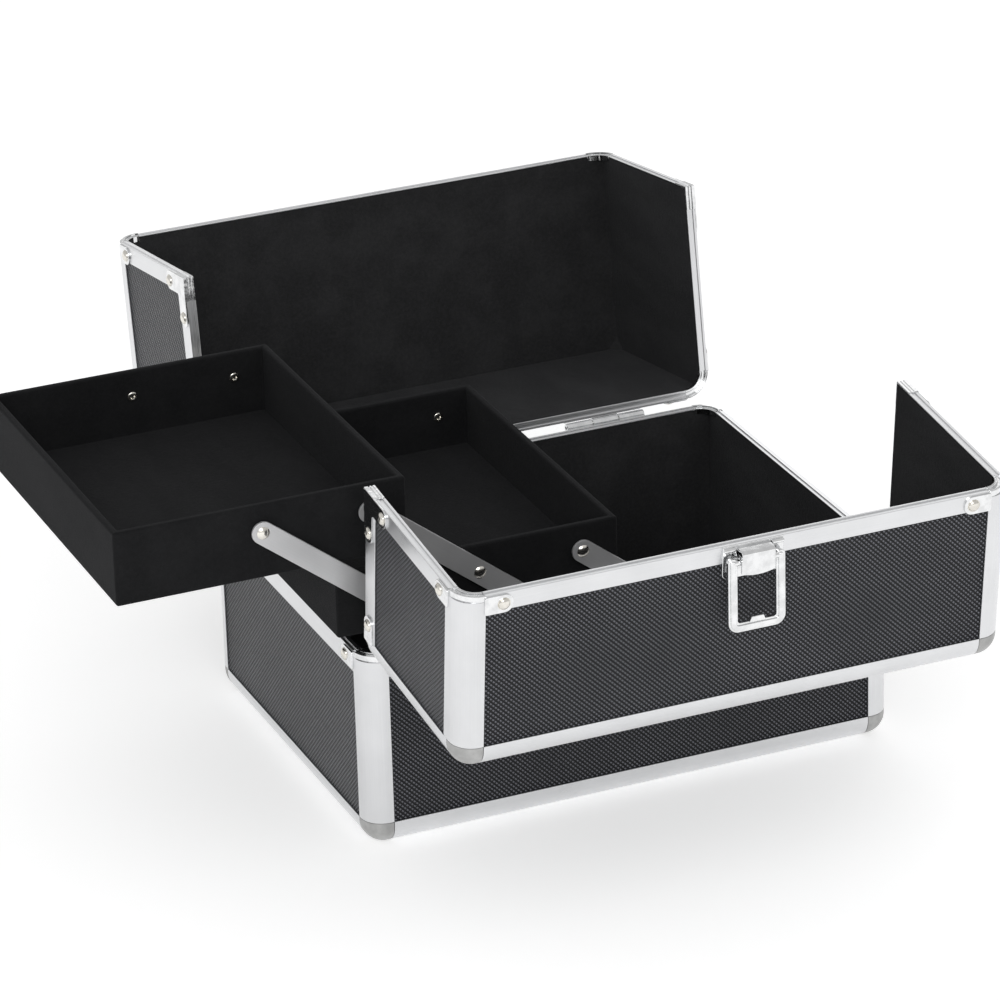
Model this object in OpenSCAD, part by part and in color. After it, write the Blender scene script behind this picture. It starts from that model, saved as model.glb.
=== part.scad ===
// Makeup train case with two hinged lids and two cantilever trays, shown fully open.
// Millimetres, +Z up, X along the long front. The origin is the middle of the floor panel's underside.

/* [Case] */
// Outside width of the case
case_w = 300; // [270:1:340]
// Outside depth of the bottom box
case_d = 220; // [200:1:250]
// Height of the bottom box up to its rim
base_h = 109; // [95:1:140]
// Height of both lids above the rim when they are shut
lid_h = 119; // [105:1:140]
// Depth of the front lid, from its wall to the seam
front_lid_d = 99.5; // [90:0.5:105]
// Gap between the two lids at the seam when they are shut
seam_gap = 0.5; // [0.3:0.1:1]
// Gap between a shut lid and the box rim
rim_gap = 0.4; // [0.3:0.1:1]

/* [Opening] */
// Angle that the front lid is open
front_open = 96; // [92:1:100]
// Angle that the rear lid is open
rear_open = 99; // [94:1:102]
// Distance of each hinge axis outside the box wall
hinge_out = 3; // [2.6:0.1:4]

/* [Frame] */
// Width of the edge profiles on each face
edge_leg = 14; // [12:0.5:16]
// Outside radius of the edge profiles
edge_r = 12; // [9:0.5:12]
// Length of panel that sits inside a profile
panel_grip = 2; // [1.5:0.5:4]
// Recess of the panels behind the profiles' faces
panel_inset = 0.8; // [0.6:0.1:1.2]
// Thickness of the outer panels
panel_t = 3.2; // [2.6:0.1:4]
// Thickness of the felt lining on the panels
lining_t = 0.8; // [0.6:0.1:1.5]
// Height of the rim band along the box's opening
rim_h = 12; // [10:0.5:14]
// Height of the rim band along the lids' seam
seam_rim_h = 9.5; // [8:0.5:12]
// Thickness of the rim's top web
rim_web = 2.2; // [2:0.1:3]
// Thickness of the rim's lip over the felt
rim_lip_t = 0.8; // [0.6:0.1:1.2]
// Reach of the rim's lip past the felt
rim_lip_reach = 0.2; // [0.1:0.1:0.8]
// Width of the sealing tongue on the rims
tongue_w = 1.4; // [1:0.1:1.8]
// Height of the sealing tongue
tongue_h = 1.2; // [0.8:0.1:1.5]
// Clearance round the tongue in its groove
tongue_gap = 0.3; // [0.2:0.1:0.4]

/* [Corner brackets] */
// Height of the brackets' rounded corners
bracket_ring_h = 3.2; // [2.8:0.1:5]
// Thickness of the bracket tabs
tab_t = 1; // [0.7:0.1:1.4]
// Width of the bracket tabs
tab_w = 10.5; // [9:0.5:12]
// Distance of each bracket rivet from the case's corner
bracket_rivet = 23; // [20:0.5:28]
// Radius of the rounded tab end round the rivet
tab_end_r = 5; // [4.5:0.1:5.2]

/* [Rivets] */
// Radius of the rivet shanks
rivet_r = 1.5; // [1.2:0.1:2]
// Radius of the rivet heads
rivet_head_r = 3.4; // [2.8:0.1:4]
// Height of the rivet heads
rivet_head_h = 1.6; // [1:0.1:2]

/* [Hinges] */
// Distance of each hinge from the case's middle
hinge_x = 85; // [60:1:95]
// Length of a hinge
hinge_w = 47; // [36:1:60]
// Height of the hinge leaves
hinge_leaf_h = 11; // [9:0.5:12]
// Thickness of the hinge leaves
hinge_leaf_t = 1; // [0.8:0.1:1.2]
// Radius of the hinge knuckles
knuckle_r = 2.4; // [2.1:0.1:2.5]
// Radius of the hinge pins
hinge_pin_r = 1.3; // [1:0.1:1.5]
// Gap between neighbouring knuckles
knuckle_gap = 0.3; // [0.2:0.1:0.6]

/* [Trays] */
// Length of each tray
tray_l = 156; // [150:1:175]
// Height of the upper tray
upper_tray_h = 40; // [34:0.5:41]
// Height of the lower tray
lower_tray_h = 36.5; // [34:0.5:41]
// Thickness of the tray walls
tray_wall = 4; // [3:0.5:6]
// Thickness of the tray floors
tray_floor = 3; // [2:0.5:5]
// Thickness of the felt pad in each tray
tray_pad = 1.5; // [1:0.5:3]
// Depth of the tray pivots below the trays' top edges
pivot_below_top = 14.5; // [12:0.5:18]

/* [Tray linkage] */
// Distance between neighbouring arm pivots on one tray
pivot_spacing = 57.5; // [52:0.5:62]
// Length of one arm stage from pivot to pivot
arm_span = 74.5; // [70:0.5:80]
// Angle of the arms above level when the trays are out
arm_rise = 38; // [36:0.5:45]
// Place of the long arm's box pivot to the left of the case's middle
box_pivot_x = 21.3; // [15:0.1:30]
// Depth of the box pivots below the rim
box_pivot_drop = 15.2; // [13:0.1:20]
// Width of the arms
arm_w = 12; // [10:0.5:15]
// Thickness of the arms
arm_t = 1.5; // [1:0.1:2]
// Gap between an arm and the box rim
arm_gap = 5.1; // [4:0.1:7]
// Gap between an arm and a tray
tray_gap = 1; // [0.6:0.1:2]
// Radius of the pivot pins
pivot_r = 2; // [1.5:0.1:2.5]
// Radius of the pivot heads
pivot_head_r = 3.4; // [3:0.1:5]
// Height of the pivot heads
pivot_head_h = 1.2; // [0.8:0.1:1.2]

/* [Latch] */
// Place of the latch to the right of the case's middle
latch_x = 5.5; // [-20:0.5:20]
// Width of the latch plate
latch_plate_w = 33; // [30:0.5:40]
// Height of the latch plate
latch_plate_h = 18; // [16:0.5:24]
// Thickness of the latch and catch plates
latch_plate_t = 1.2; // [1:0.1:1.6]
// Width of the hook that carries the loop
hook_w = 18; // [14:0.5:20]
// Width of the loop
loop_w = 31; // [28:0.5:36]
// Length of the loop from its pivot to its lower edge
loop_l = 37.5; // [34:0.5:42]
// Width of the loop's bars
loop_bar = 5; // [4.6:0.1:5.5]
// Thickness of the loop
loop_t = 3.2; // [2.6:0.1:3.4]
// Corner radius of the loop
loop_r = 5; // [3:0.5:6]
// Radius of the loop's pivot bar
loop_pin_r = 1.7; // [1.4:0.1:1.8]

/* [Handle] */
// Place of the handle on the rear lid, from its wall
handle_v = 66; // [50:1:75]
// Distance between the handle's pivots
handle_span = 112; // [90:1:140]
// Length of the handle from its pivots to the middle of its grip
handle_l = 32; // [26:1:38]
// Radius of the grip
grip_r = 7; // [5:0.5:8]
// Radius of the handle's wire
handle_rod_r = 2.5; // [2:0.1:3]

/* [Hidden] */
$fn = 48;

aluminium = "gainsboro";
bright = "silver";
nickel = "lightgray";
panel_colour = "dimgray";
felt = "black";
cap_grey = "darkgray";

half_w = case_w / 2;
half_d = case_d / 2;
rear_lid_d = case_d - front_lid_d - seam_gap;
board_t = panel_inset + panel_t;            // from the frame's face to the back of a panel
wall_t = board_t + lining_t;                // from the frame's face to the felt
rim_t = wall_t + rim_lip_reach;             // width of the rim's sealing face
cut = 0.1;                                  // how far a cut runs past the face it opens
run_fit = 0.06;                             // radial clearance of a turning fit
free_fit = 0.15;                            // radial clearance of the arms' open pivots
groove_h = tongue_h + tongue_gap;
cap_shell = 1.5;                            // wall of the corner caps inside their rounding
floor_lip = 1.5;                            // lip of the edge profiles over the floor panel
tab_root = 1;                               // length of a tab that is one with its bracket's corner

// Tray linkage: [x, z] of every pivot with the trays out
arm_step = [-arm_span * cos(arm_rise), arm_span * sin(arm_rise)];
long_box_pivot = [-box_pivot_x, base_h - box_pivot_drop];
short_box_pivot = long_box_pivot + [pivot_spacing, 0];
lower_mid_pivot = long_box_pivot + arm_step;
lower_right_pivot = short_box_pivot + arm_step;
lower_left_pivot = lower_mid_pivot - [pivot_spacing, 0];
upper_right_pivot = lower_mid_pivot + arm_step;
upper_left_pivot = lower_left_pivot + arm_step;
arm_face_y = half_d - rim_t - arm_gap;      // outer face of the arms
arm_slack = 0.1;                            // play of an arm between its shoulder and its head
pivot_flange_h = 0.8;
tray_half_d = arm_face_y - arm_t - tray_gap;
tray_end = tray_l / 2 - pivot_spacing;      // from a tray's end to its nearest pivot
lower_tray_place = lower_left_pivot + [-tray_end, pivot_below_top - lower_tray_h];
upper_tray_place = upper_right_pivot + [tray_end - tray_l, pivot_below_top - upper_tray_h];
lower_tray_pivots = [lower_left_pivot, lower_mid_pivot, lower_right_pivot];
upper_tray_pivots = [upper_left_pivot, upper_right_pivot];
long_arm_pivots = [concat(long_box_pivot, run_fit), concat(lower_mid_pivot, run_fit),
    concat(upper_right_pivot, run_fit)];
lower_arm_pivots = [concat(short_box_pivot, run_fit), concat(lower_right_pivot, free_fit)];
upper_arm_pivots = [concat(lower_left_pivot, run_fit), concat(upper_left_pivot, free_fit)];
leaf_head_r = 2.2;
leaf_head_h = 0.6;

// Latch: the loop's pivot in the front lid's own frame, then in the case's
latch_from_seam = 7.5;                      // from the seam to the loop's pivot
latch_pivot_v = front_lid_d - latch_from_seam;
loop_reach = norm([loop_bar, loop_t]) / 2;  // farthest that the loop's top reaches round its pivot
loop_clear = 0.4;                           // gap between the turning loop and its plate
latch_pivot_w = lid_h + latch_plate_t + loop_reach + loop_clear;
hook_wall = 1.5;                            // wall of the hook round its bore
hook_r = loop_pin_r + hook_wall;
hook_flap_t = 1.2;
hook_flap_l = 7;                            // from the pivot to the lower edge of the hook's face
hook_rise = 6.5;                            // from the pivot to the hook's bend
loop_in_w = loop_w - 2 * loop_bar;
catch_bar_v = rear_lid_d - (loop_l - loop_bar / 2 - latch_from_seam - seam_gap);
catch_side_gap = 1.5;                       // room between the catch and the loop's sides
catch_w = loop_in_w - 2 * catch_side_gap;
catch_gap = 0.8;                            // gap between the hooked loop and the catch
catch_post_t = 2;
lock_r = 4.5;
lock_from_seam = 15;
lock_v = rear_lid_d - lock_from_seam;
key_slot_w = 1;
lock_sink = board_t;
lock_rise = 1.5;
loop_lip_w = 9;
loop_lip_h = 2.5;

// Handle: pivot in the rear lid's own frame
handle_ear_h = 5.5;                         // from the panel to the handle's pivot
handle_pivot_w = lid_h - panel_inset + handle_ear_h;
handle_pin_r = 2;
handle_pin_l = 6;
handle_arm_x = handle_span / 2 - handle_pin_l;  // middle of each side of the handle's wire
handle_ear_t = 3;
handle_ear_r = 4;
handle_foot = [20, 14, 1.5];
grip_gap = 5;                               // from each end of the grip to the middle of the wire's side
grip_l = 2 * (handle_arm_x - grip_gap);

function front_y(v, w) = -half_d - hinge_out + (v + hinge_out) * cos(front_open) - (w + rim_gap) * sin(front_open);
function front_z(v, w) = base_h + (v + hinge_out) * sin(front_open) + (w + rim_gap) * cos(front_open);
function rear_y(v, w) = half_d + hinge_out - (v + hinge_out) * cos(rear_open) + (w + rim_gap) * sin(rear_open);
function rear_z(v, w) = base_h + (v + hinge_out) * sin(rear_open) + (w + rim_gap) * cos(rear_open);

// ---- Placing ----

// A lid's own frame: X along the case, Y from its wall to the seam, Z up from its rim when shut
module front_lid_place() {
    translate([0, -half_d - hinge_out, base_h]) rotate([front_open, 0, 0])
        translate([0, hinge_out, rim_gap]) children();
}

module rear_lid_place() {
    translate([0, half_d + hinge_out, base_h]) rotate([0, 0, 180]) rotate([rear_open, 0, 0])
        translate([0, hinge_out, rim_gap]) children();
}

module both_sides() {
    for (side = [0, 1]) mirror([side, 0, 0]) children();
}

module front_and_rear() {
    for (back = [0, 1]) mirror([0, back, 0]) children();
}

// Swaps X and Y, so that what runs along a corner's first wall runs along its second one
module second_wall() {
    mirror([1, -1, 0]) children();
}

// A top corner of the box: X and Y run inwards along the rim and Z runs down the post
module at_base_corners() {
    both_sides() front_and_rear() translate([-half_w, -half_d, base_h]) mirror([0, 0, 1]) children();
}

// A rounded rim corner by a lid's wall: X along the wall, Y along the side, Z up
module at_wall_corners() {
    both_sides() translate([-half_w, 0, 0]) children();
}

// A rounded rim corner at a lid's seam: X along the seam, Y down the side, Z away from the seam
module at_seam_corners(depth) {
    both_sides() translate([-half_w, depth, lid_h]) mirror([0, 1, 0]) rotate([-90, 0, 0]) children();
}

// A square corner of a lid, on its side's outer face: X runs up, Y to the wall and Z outwards
module at_square_corners(depth) {
    both_sides() translate([-half_w, depth, 0]) rotate([0, -90, 0]) mirror([0, 1, 0]) children();
}

// A hinge axis along X, with the wall's outer face at Y = hinge_out and the leaf running to +Z
module at_base_hinges() {
    both_sides() front_and_rear() translate([-hinge_x, -half_d - hinge_out, base_h]) mirror([0, 0, 1]) children();
}

module at_lid_hinges() {
    both_sides() translate([-hinge_x, -hinge_out, -rim_gap]) children();
}

// ---- Frame ----

// Section of an edge profile, its outer corner at the origin, with a slot for each panel.
// The panel along X lies inset_x behind the outer face.
module edge_section(inset_x) {
    slot = edge_leg - panel_grip;
    difference() {
        intersection() {
            square(edge_leg);
            union() {
                difference() {
                    square(edge_leg);
                    square(edge_r);
                }
                translate([edge_r, edge_r]) circle(edge_r);
            }
        }
        translate([board_t, board_t]) square(edge_leg);
        translate([slot, inset_x]) square([edge_leg, panel_t]);
        translate([panel_inset, slot]) square([panel_t, edge_leg]);
    }
}

// An edge profile along +X; the first leg of its section runs to +Y and the second to +Z
module edge_profile(length, inset_x = panel_inset) {
    rotate([90, 0, 90]) linear_extrude(length) edge_section(inset_x);
}

// Die-cast cap that fills the corner where three edge profiles meet
module corner_cap(floor_inset = panel_inset) {
    slot = edge_leg - panel_grip;
    difference() {
        intersection() {
            cube(edge_leg);
            corner_form(edge_r, edge_leg - edge_r);
        }
        intersection() {
            translate([board_t, board_t, board_t]) cube(edge_leg);
            corner_form(edge_r - cap_shell, edge_leg - edge_r + cut);
        }
        translate([slot, panel_inset, slot]) cube([edge_leg, panel_t, edge_leg]);
        translate([panel_inset, slot, slot]) cube([panel_t, edge_leg, edge_leg]);
        translate([slot, slot, floor_inset]) cube([edge_leg, edge_leg, panel_t]);
    }
}

// Block with a ball-rounded corner of radius r about [edge_r, edge_r, edge_r], reaching rest past it
module corner_form(r, rest) {
    translate([edge_r, edge_r, edge_r]) {
        sphere(r);
        cylinder(r = r, h = rest);
        rotate([0, 90, 0]) cylinder(r = r, h = rest);
        rotate([-90, 0, 0]) cylinder(r = r, h = rest);
        translate([0, 0, -r]) cube([rest, rest, r + rest]);
        translate([0, -r, 0]) cube([rest, r + rest, rest]);
        translate([-r, 0, 0]) cube([r + rest, rest, rest]);
    }
}

// Section of a rim rail: X runs inwards from the outer face and Y away from the sealing face
module rim_section(height, tongue) {
    middle = rim_t / 2;
    difference() {
        union() {
            square([panel_inset, height]);
            square([board_t, rim_web]);
            square([rim_t, rim_lip_t]);
            if (tongue) translate([middle - tongue_w / 2, -tongue_h]) square([tongue_w, tongue_h + rim_web]);
        }
        if (!tongue) translate([middle - tongue_w / 2 - tongue_gap, -cut])
            square([tongue_w + 2 * tongue_gap, groove_h + cut]);
    }
}

// Clears the box's tongue through a lid's whole side, past its seam
module tongue_slot(depth) {
    width = tongue_w + 2 * tongue_gap;
    translate([0, (rim_t - width) / 2, -cut]) cube([depth - edge_leg + groove_h, width, groove_h + cut]);
}

// A rail along +X from the rounded corner, its outer face at Y = 0 and its sealing face at Z = 0
module rim_rail(length, height, tongue) {
    translate([edge_leg, 0, 0]) rotate([90, 0, 90]) linear_extrude(length) rim_section(height, tongue);
}

// A rail whose far end is mitred to meet its neighbour at a square corner
module mitred_rail(reach, height, tongue) {
    far = 2 * rim_h;
    difference() {
        rim_rail(reach - edge_leg, height, tongue);
        translate([reach, rim_t + cut, 0]) rotate([90, 0, 0]) linear_extrude(rim_t + 2 * cut)
            polygon([[0, 0], [-seam_rim_h, seam_rim_h], [-seam_rim_h, far], [far, far], [far, 0]]);
    }
}

// Rounded corner of the rim: a quarter ring with two tabs that lie on the rails
module rim_bracket(tongue) {
    middle = edge_leg - rim_t / 2;
    difference() {
        translate([edge_leg, edge_leg, 0]) {
            quarter_ring(edge_leg - rim_t, edge_leg, 0, bracket_ring_h);
            if (tongue) quarter_ring(middle - tongue_w / 2, middle + tongue_w / 2, -tongue_h, rim_web);
        }
        if (!tongue) translate([edge_leg, edge_leg, 0])
            quarter_ring(middle - tongue_w / 2 - tongue_gap, middle + tongue_w / 2 + tongue_gap, -cut, groove_h);
    }
    bracket_tab();
    second_wall() bracket_tab();
}

// The quarter of a ring that turns a corner at -X, -Y, from low to high
module quarter_ring(inner_r, outer_r, low, high) {
    translate([0, 0, low]) intersection() {
        difference() {
            cylinder(r = outer_r, h = high - low);
            translate([0, 0, -cut]) cylinder(r = inner_r, h = high - low + 2 * cut);
        }
        translate([-outer_r, -outer_r, 0]) cube([outer_r, outer_r, high - low]);
    }
}

module bracket_tab() {
    difference() {
        union() {
            translate([edge_leg - tab_root, -tab_t, 0]) cube([tab_root, tab_t + panel_inset, bracket_ring_h]);
            translate([edge_leg - tab_root, -tab_t, 0]) cube([bracket_rivet - edge_leg + tab_root, tab_t, tab_w]);
            at_bracket_rivet() cylinder(r = tab_end_r, h = tab_t);
        }
        at_bracket_rivet() rivet_drill();
    }
}

// Flat angle over the mitre of the two rims
module rim_angle() {
    difference() {
        union() {
            cube([bracket_rivet, tab_w, tab_t]);
            cube([tab_w, bracket_rivet, tab_t]);
            at_angle_rivets() cylinder(r = tab_end_r, h = tab_t);
        }
        at_angle_rivets() rivet_drill();
    }
}

// ---- Rivets ----

module at_bracket_rivet() {
    translate([bracket_rivet, 0, tab_w - tab_end_r]) rotate([90, 0, 0]) children();
}

module at_both_bracket_rivets() {
    at_bracket_rivet() children();
    second_wall() at_bracket_rivet() children();
}

module at_angle_rivets() {
    translate([bracket_rivet, tab_w - tab_end_r, 0]) children();
    translate([tab_w - tab_end_r, bracket_rivet, 0]) children();
}

module at_leaf_rivets() {
    for (end = [-1, 1]) translate([end * hinge_w / 3, hinge_out, hinge_leaf_h * 0.65])
        rotate([90, 0, 0]) children();
}

// A rivet through a plate on the frame's face at Z = 0, ending at the back of the panel
module rivet(plate_t, head_r, head_h) {
    cap_r = (pow(head_r, 2) + pow(head_h, 2)) / (2 * head_h);
    translate([0, 0, plate_t]) intersection() {
        translate([0, 0, head_h - cap_r]) sphere(cap_r);
        cylinder(r = head_r, h = head_h);
    }
    translate([0, 0, -board_t]) cylinder(r = rivet_r, h = board_t + plate_t);
}

module tab_rivet() {
    rivet(tab_t, rivet_head_r, rivet_head_h);
}

module leaf_rivet() {
    rivet(hinge_leaf_t, leaf_head_r, leaf_head_h);
}

module rivet_drill() {
    translate([0, 0, -board_t]) cylinder(r = rivet_r, h = board_t + 2 * tab_t);
}

module base_drills() {
    at_base_corners() at_both_bracket_rivets() rivet_drill();
    at_base_hinges() at_leaf_rivets() rivet_drill();
}

module lid_drills(depth) {
    at_wall_corners() at_both_bracket_rivets() rivet_drill();
    at_seam_corners(depth) at_both_bracket_rivets() rivet_drill();
    at_square_corners(depth) at_angle_rivets() rivet_drill();
    at_lid_hinges() at_leaf_rivets() rivet_drill();
}

// ---- Boards ----

// A board along +X behind a rim: it lies between near and far from the outer face, starts at top below
// the sealing face, fits under the rounded rim corners, and stops at side_stop and end_stop
module wall_board(width, height, near, far, top, side_stop, end_stop) {
    ring = bracket_ring_h;
    translate([side_stop, near, ring]) cube([width - 2 * side_stop, far - near, height - ring - end_stop]);
    translate([edge_leg, near, top]) cube([width - 2 * edge_leg, far - near, ring - top + cut]);
}

module outer_wall(width, height) {
    stop = edge_leg - panel_grip;
    wall_board(width, height, panel_inset, board_t, rim_web, stop, stop);
}

module felt_wall(width, height, side_stop, end_stop) {
    wall_board(width, height, board_t, wall_t, rim_lip_t, side_stop, end_stop);
}

// A lid's side board on the left, between near and far from the outer face
module lid_side_board(depth, near, far, top, stop) {
    ring = bracket_ring_h;
    translate([-half_w + near, 0, 0]) {
        translate([0, stop, ring]) cube([far - near, depth - ring - stop, lid_h - ring - stop]);
        translate([0, edge_leg, top]) cube([far - near, depth - top - edge_leg, ring - top + cut]);
        translate([0, depth - ring - cut, top]) cube([far - near, ring - top + cut, lid_h - edge_leg - top]);
    }
}

// ---- Hinges ----

// A leaf with the knuckles named by their numbers from 0 to 2
module hinge_leaf(knuckles, bore_r) {
    knuckle_w = (hinge_w - 2 * knuckle_gap) / 3;
    pitch = knuckle_w + knuckle_gap;
    difference() {
        union() {
            translate([-hinge_w / 2, hinge_out - hinge_leaf_t, 0]) cube([hinge_w, hinge_leaf_t, hinge_leaf_h]);
            for (k = knuckles) translate([-hinge_w / 2 + k * pitch, 0, 0]) {
                rotate([0, 90, 0]) cylinder(r = knuckle_r, h = knuckle_w);
                cube([knuckle_w, hinge_out, knuckle_r]);
            }
        }
        for (k = [0 : 2]) if (len(search(k, knuckles)) == 0)
            translate([-hinge_w / 2 + k * pitch - knuckle_gap, hinge_out - hinge_leaf_t - cut, -cut])
                cube([knuckle_w + 2 * knuckle_gap, hinge_leaf_t + 2 * cut, hinge_out + cut]);
        rotate([0, 90, 0]) cylinder(r = bore_r, h = hinge_w + 2 * cut, center = true);
        at_leaf_rivets() rivet_drill();
    }
}

// ---- Tray linkage ----

// A flat arm over pivots given as [x, z, clearance], its outer face at Y = 0
module arm(pivots) {
    first = pivots[0];
    run = pivots[len(pivots) - 1] - first;
    span = norm([run[0], run[1]]);
    difference() {
        translate([first[0], 0, first[1]]) rotate([0, -atan2(run[1], run[0]), 0]) {
            translate([0, 0, -arm_w / 2]) cube([span, arm_t, arm_w]);
            for (end = [0, span]) translate([end, 0, 0]) rotate([-90, 0, 0]) cylinder(r = arm_w / 2, h = arm_t);
        }
        for (p = pivots) translate([p[0], -cut, p[1]]) rotate([-90, 0, 0])
            cylinder(r = pivot_r + p[2], h = arm_t + 2 * cut);
    }
}

module front_arm(pivots) {
    translate([0, -arm_face_y, 0]) arm(pivots);
}

module rear_arm(pivots) {
    mirror([0, 1, 0]) front_arm(pivots);
}

// A pivot pin out of the face at Z = 0: a flange behind, a shoulder, the pin and a domed head
module pivot_rivet(root, shoulder) {
    cap_r = (pow(pivot_head_r, 2) + pow(pivot_head_h, 2)) / (2 * pivot_head_h);
    head_z = shoulder + arm_t + arm_slack;
    translate([0, 0, -root]) cylinder(r = pivot_r, h = root + head_z);
    translate([0, 0, -root - pivot_flange_h]) cylinder(r = pivot_head_r * 0.85, h = pivot_flange_h);
    cylinder(r = pivot_head_r, h = shoulder - arm_slack);
    translate([0, 0, head_z]) intersection() {
        translate([0, 0, pivot_head_h - cap_r]) sphere(cap_r);
        cylinder(r = pivot_head_r, h = pivot_head_h);
    }
}

// Places what points out of a tray's front side at a pivot, and its twin on the rear side
module at_tray_pivots(pivots) {
    for (p = pivots) front_and_rear() translate([p[0], -tray_half_d, p[1]]) rotate([90, 0, 0]) children();
}

module at_box_pivots() {
    for (p = [long_box_pivot, short_box_pivot]) front_and_rear()
        translate([p[0], -half_d + wall_t, p[1]]) rotate([-90, 0, 0]) children();
}

// A tray's five boards, with its left bottom corner at place
module tray_boards(place, pivots, height) {
    inner_d = 2 * (tray_half_d - tray_wall);
    difference() {
        translate([place[0], 0, place[1]]) {
            front_and_rear() translate([0, -tray_half_d, 0]) cube([tray_l, tray_wall, height]);
            for (x = [0, tray_l - tray_wall]) translate([x, -inner_d / 2, 0]) cube([tray_wall, inner_d, height]);
            translate([tray_wall, -inner_d / 2, 0]) cube([tray_l - 2 * tray_wall, inner_d, tray_floor]);
        }
        at_tray_pivots(pivots) translate([0, 0, -tray_wall - cut]) cylinder(r = pivot_r, h = tray_wall + 2 * cut);
    }
}

module tray_felt(place) {
    inner_d = 2 * (tray_half_d - tray_wall);
    translate([place[0] + tray_wall, -inner_d / 2, place[1] + tray_floor])
        cube([tray_l - 2 * tray_wall, inner_d, tray_pad]);
}

// ---- Bottom box ----

module base_front_panel() {
    color(panel_colour) difference() {
        translate([-half_w, -half_d, base_h]) mirror([0, 0, 1]) outer_wall(case_w, base_h);
        base_drills();
        box_pivot_drills();
    }
}

module base_rear_panel() {
    color(panel_colour) difference() {
        translate([-half_w, half_d, base_h]) mirror([0, 0, 1]) mirror([0, 1, 0]) outer_wall(case_w, base_h);
        base_drills();
        box_pivot_drills();
    }
}

module base_left_panel() {
    color(panel_colour) base_side_panel();
}

module base_right_panel() {
    color(panel_colour) mirror([1, 0, 0]) base_side_panel();
}

module base_side_panel() {
    difference() {
        translate([-half_w, -half_d, base_h]) mirror([0, 0, 1]) second_wall() outer_wall(case_d, base_h);
        base_drills();
    }
}

module base_floor_panel() {
    stop = edge_leg - panel_grip;
    color(panel_colour) translate([-half_w + stop, -half_d + stop, 0])
        cube([case_w - 2 * stop, case_d - 2 * stop, panel_t]);
}

module base_corner_posts() {
    color(aluminium) both_sides() front_and_rear() translate([-half_w, -half_d, edge_leg])
        linear_extrude(base_h - bracket_ring_h - edge_leg) edge_section(panel_inset);
}

module base_edge_profiles() {
    color(aluminium) {
        front_and_rear() translate([-half_w + edge_leg, -half_d, 0]) edge_profile(case_w - 2 * edge_leg, 0);
        both_sides() translate([-half_w, -half_d + edge_leg, 0]) second_wall() edge_profile(case_d - 2 * edge_leg, 0);
    }
}

module base_corner_caps() {
    color(cap_grey) both_sides() front_and_rear() translate([-half_w, -half_d, 0]) corner_cap(0);
}

module base_rim_rails() {
    color(aluminium) difference() {
        translate([0, 0, base_h]) mirror([0, 0, 1]) {
            front_and_rear() translate([-half_w, -half_d, 0]) rim_rail(case_w - 2 * edge_leg, rim_h, true);
            both_sides() translate([-half_w, -half_d, 0]) second_wall()
                rim_rail(case_d - 2 * edge_leg, rim_h, true);
        }
        base_drills();
    }
}

module base_rim_brackets() {
    color(bright) at_base_corners() rim_bracket(true);
}

module base_rivets() {
    color(nickel) {
        at_base_corners() at_both_bracket_rivets() tab_rivet();
        at_base_hinges() at_leaf_rivets() leaf_rivet();
    }
}

// Felt-covered boards inside the four walls and on the floor
module base_lining() {
    color(felt) difference() {
        union() {
            translate([0, 0, base_h]) mirror([0, 0, 1]) {
                front_and_rear() translate([-half_w, -half_d, 0])
                    felt_wall(case_w, base_h, board_t, panel_t + floor_lip);
                both_sides() translate([-half_w, -half_d, 0]) second_wall()
                    felt_wall(case_d, base_h, wall_t, panel_t + floor_lip);
            }
            translate([-half_w + edge_leg, -half_d + edge_leg, panel_t])
                cube([case_w - 2 * edge_leg, case_d - 2 * edge_leg, floor_lip]);
        }
        both_sides() front_and_rear() translate([-half_w, -half_d, 0]) cube(edge_leg);
        box_pivot_drills();
    }
}

module base_hinge_leaves() {
    color(bright) at_base_hinges() hinge_leaf([0, 2], hinge_pin_r);
}

module hinge_pins() {
    color(nickel) at_base_hinges() rotate([0, 90, 0]) cylinder(r = hinge_pin_r, h = hinge_w, center = true);
}

module box_pivot_rivets() {
    color(nickel) at_box_pivots() pivot_rivet(wall_t - panel_inset, rim_lip_reach + arm_gap);
}

module box_pivot_drills() {
    at_box_pivots() translate([0, 0, -wall_t]) cylinder(r = pivot_r, h = wall_t + cut);
}

// ---- Lids, in a lid's own frame ----

module lid_wall_panel(depth) {
    difference() {
        translate([-half_w, 0, 0]) outer_wall(case_w, lid_h);
        lid_drills(depth);
    }
}

module lid_top_panel(depth) {
    difference() {
        translate([-half_w, depth, lid_h]) mirror([0, 1, 0]) rotate([-90, 0, 0]) outer_wall(case_w, depth);
        lid_drills(depth);
    }
}

module lid_side_panels(depth) {
    difference() {
        both_sides() lid_side_board(depth, panel_inset, board_t, rim_web, edge_leg - panel_grip);
        lid_drills(depth);
    }
}

module lid_edge_profiles(depth) {
    translate([-half_w + edge_leg, 0, lid_h]) mirror([0, 0, 1]) edge_profile(case_w - 2 * edge_leg);
    both_sides() {
        translate([-half_w, edge_leg, lid_h]) mirror([0, 0, 1]) second_wall()
            edge_profile(depth - edge_leg - bracket_ring_h);
        translate([-half_w, 0, bracket_ring_h]) linear_extrude(lid_h - edge_leg - bracket_ring_h)
            edge_section(panel_inset);
    }
}

module lid_corner_caps() {
    both_sides() translate([-half_w, 0, lid_h]) mirror([0, 0, 1]) corner_cap();
}

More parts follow.
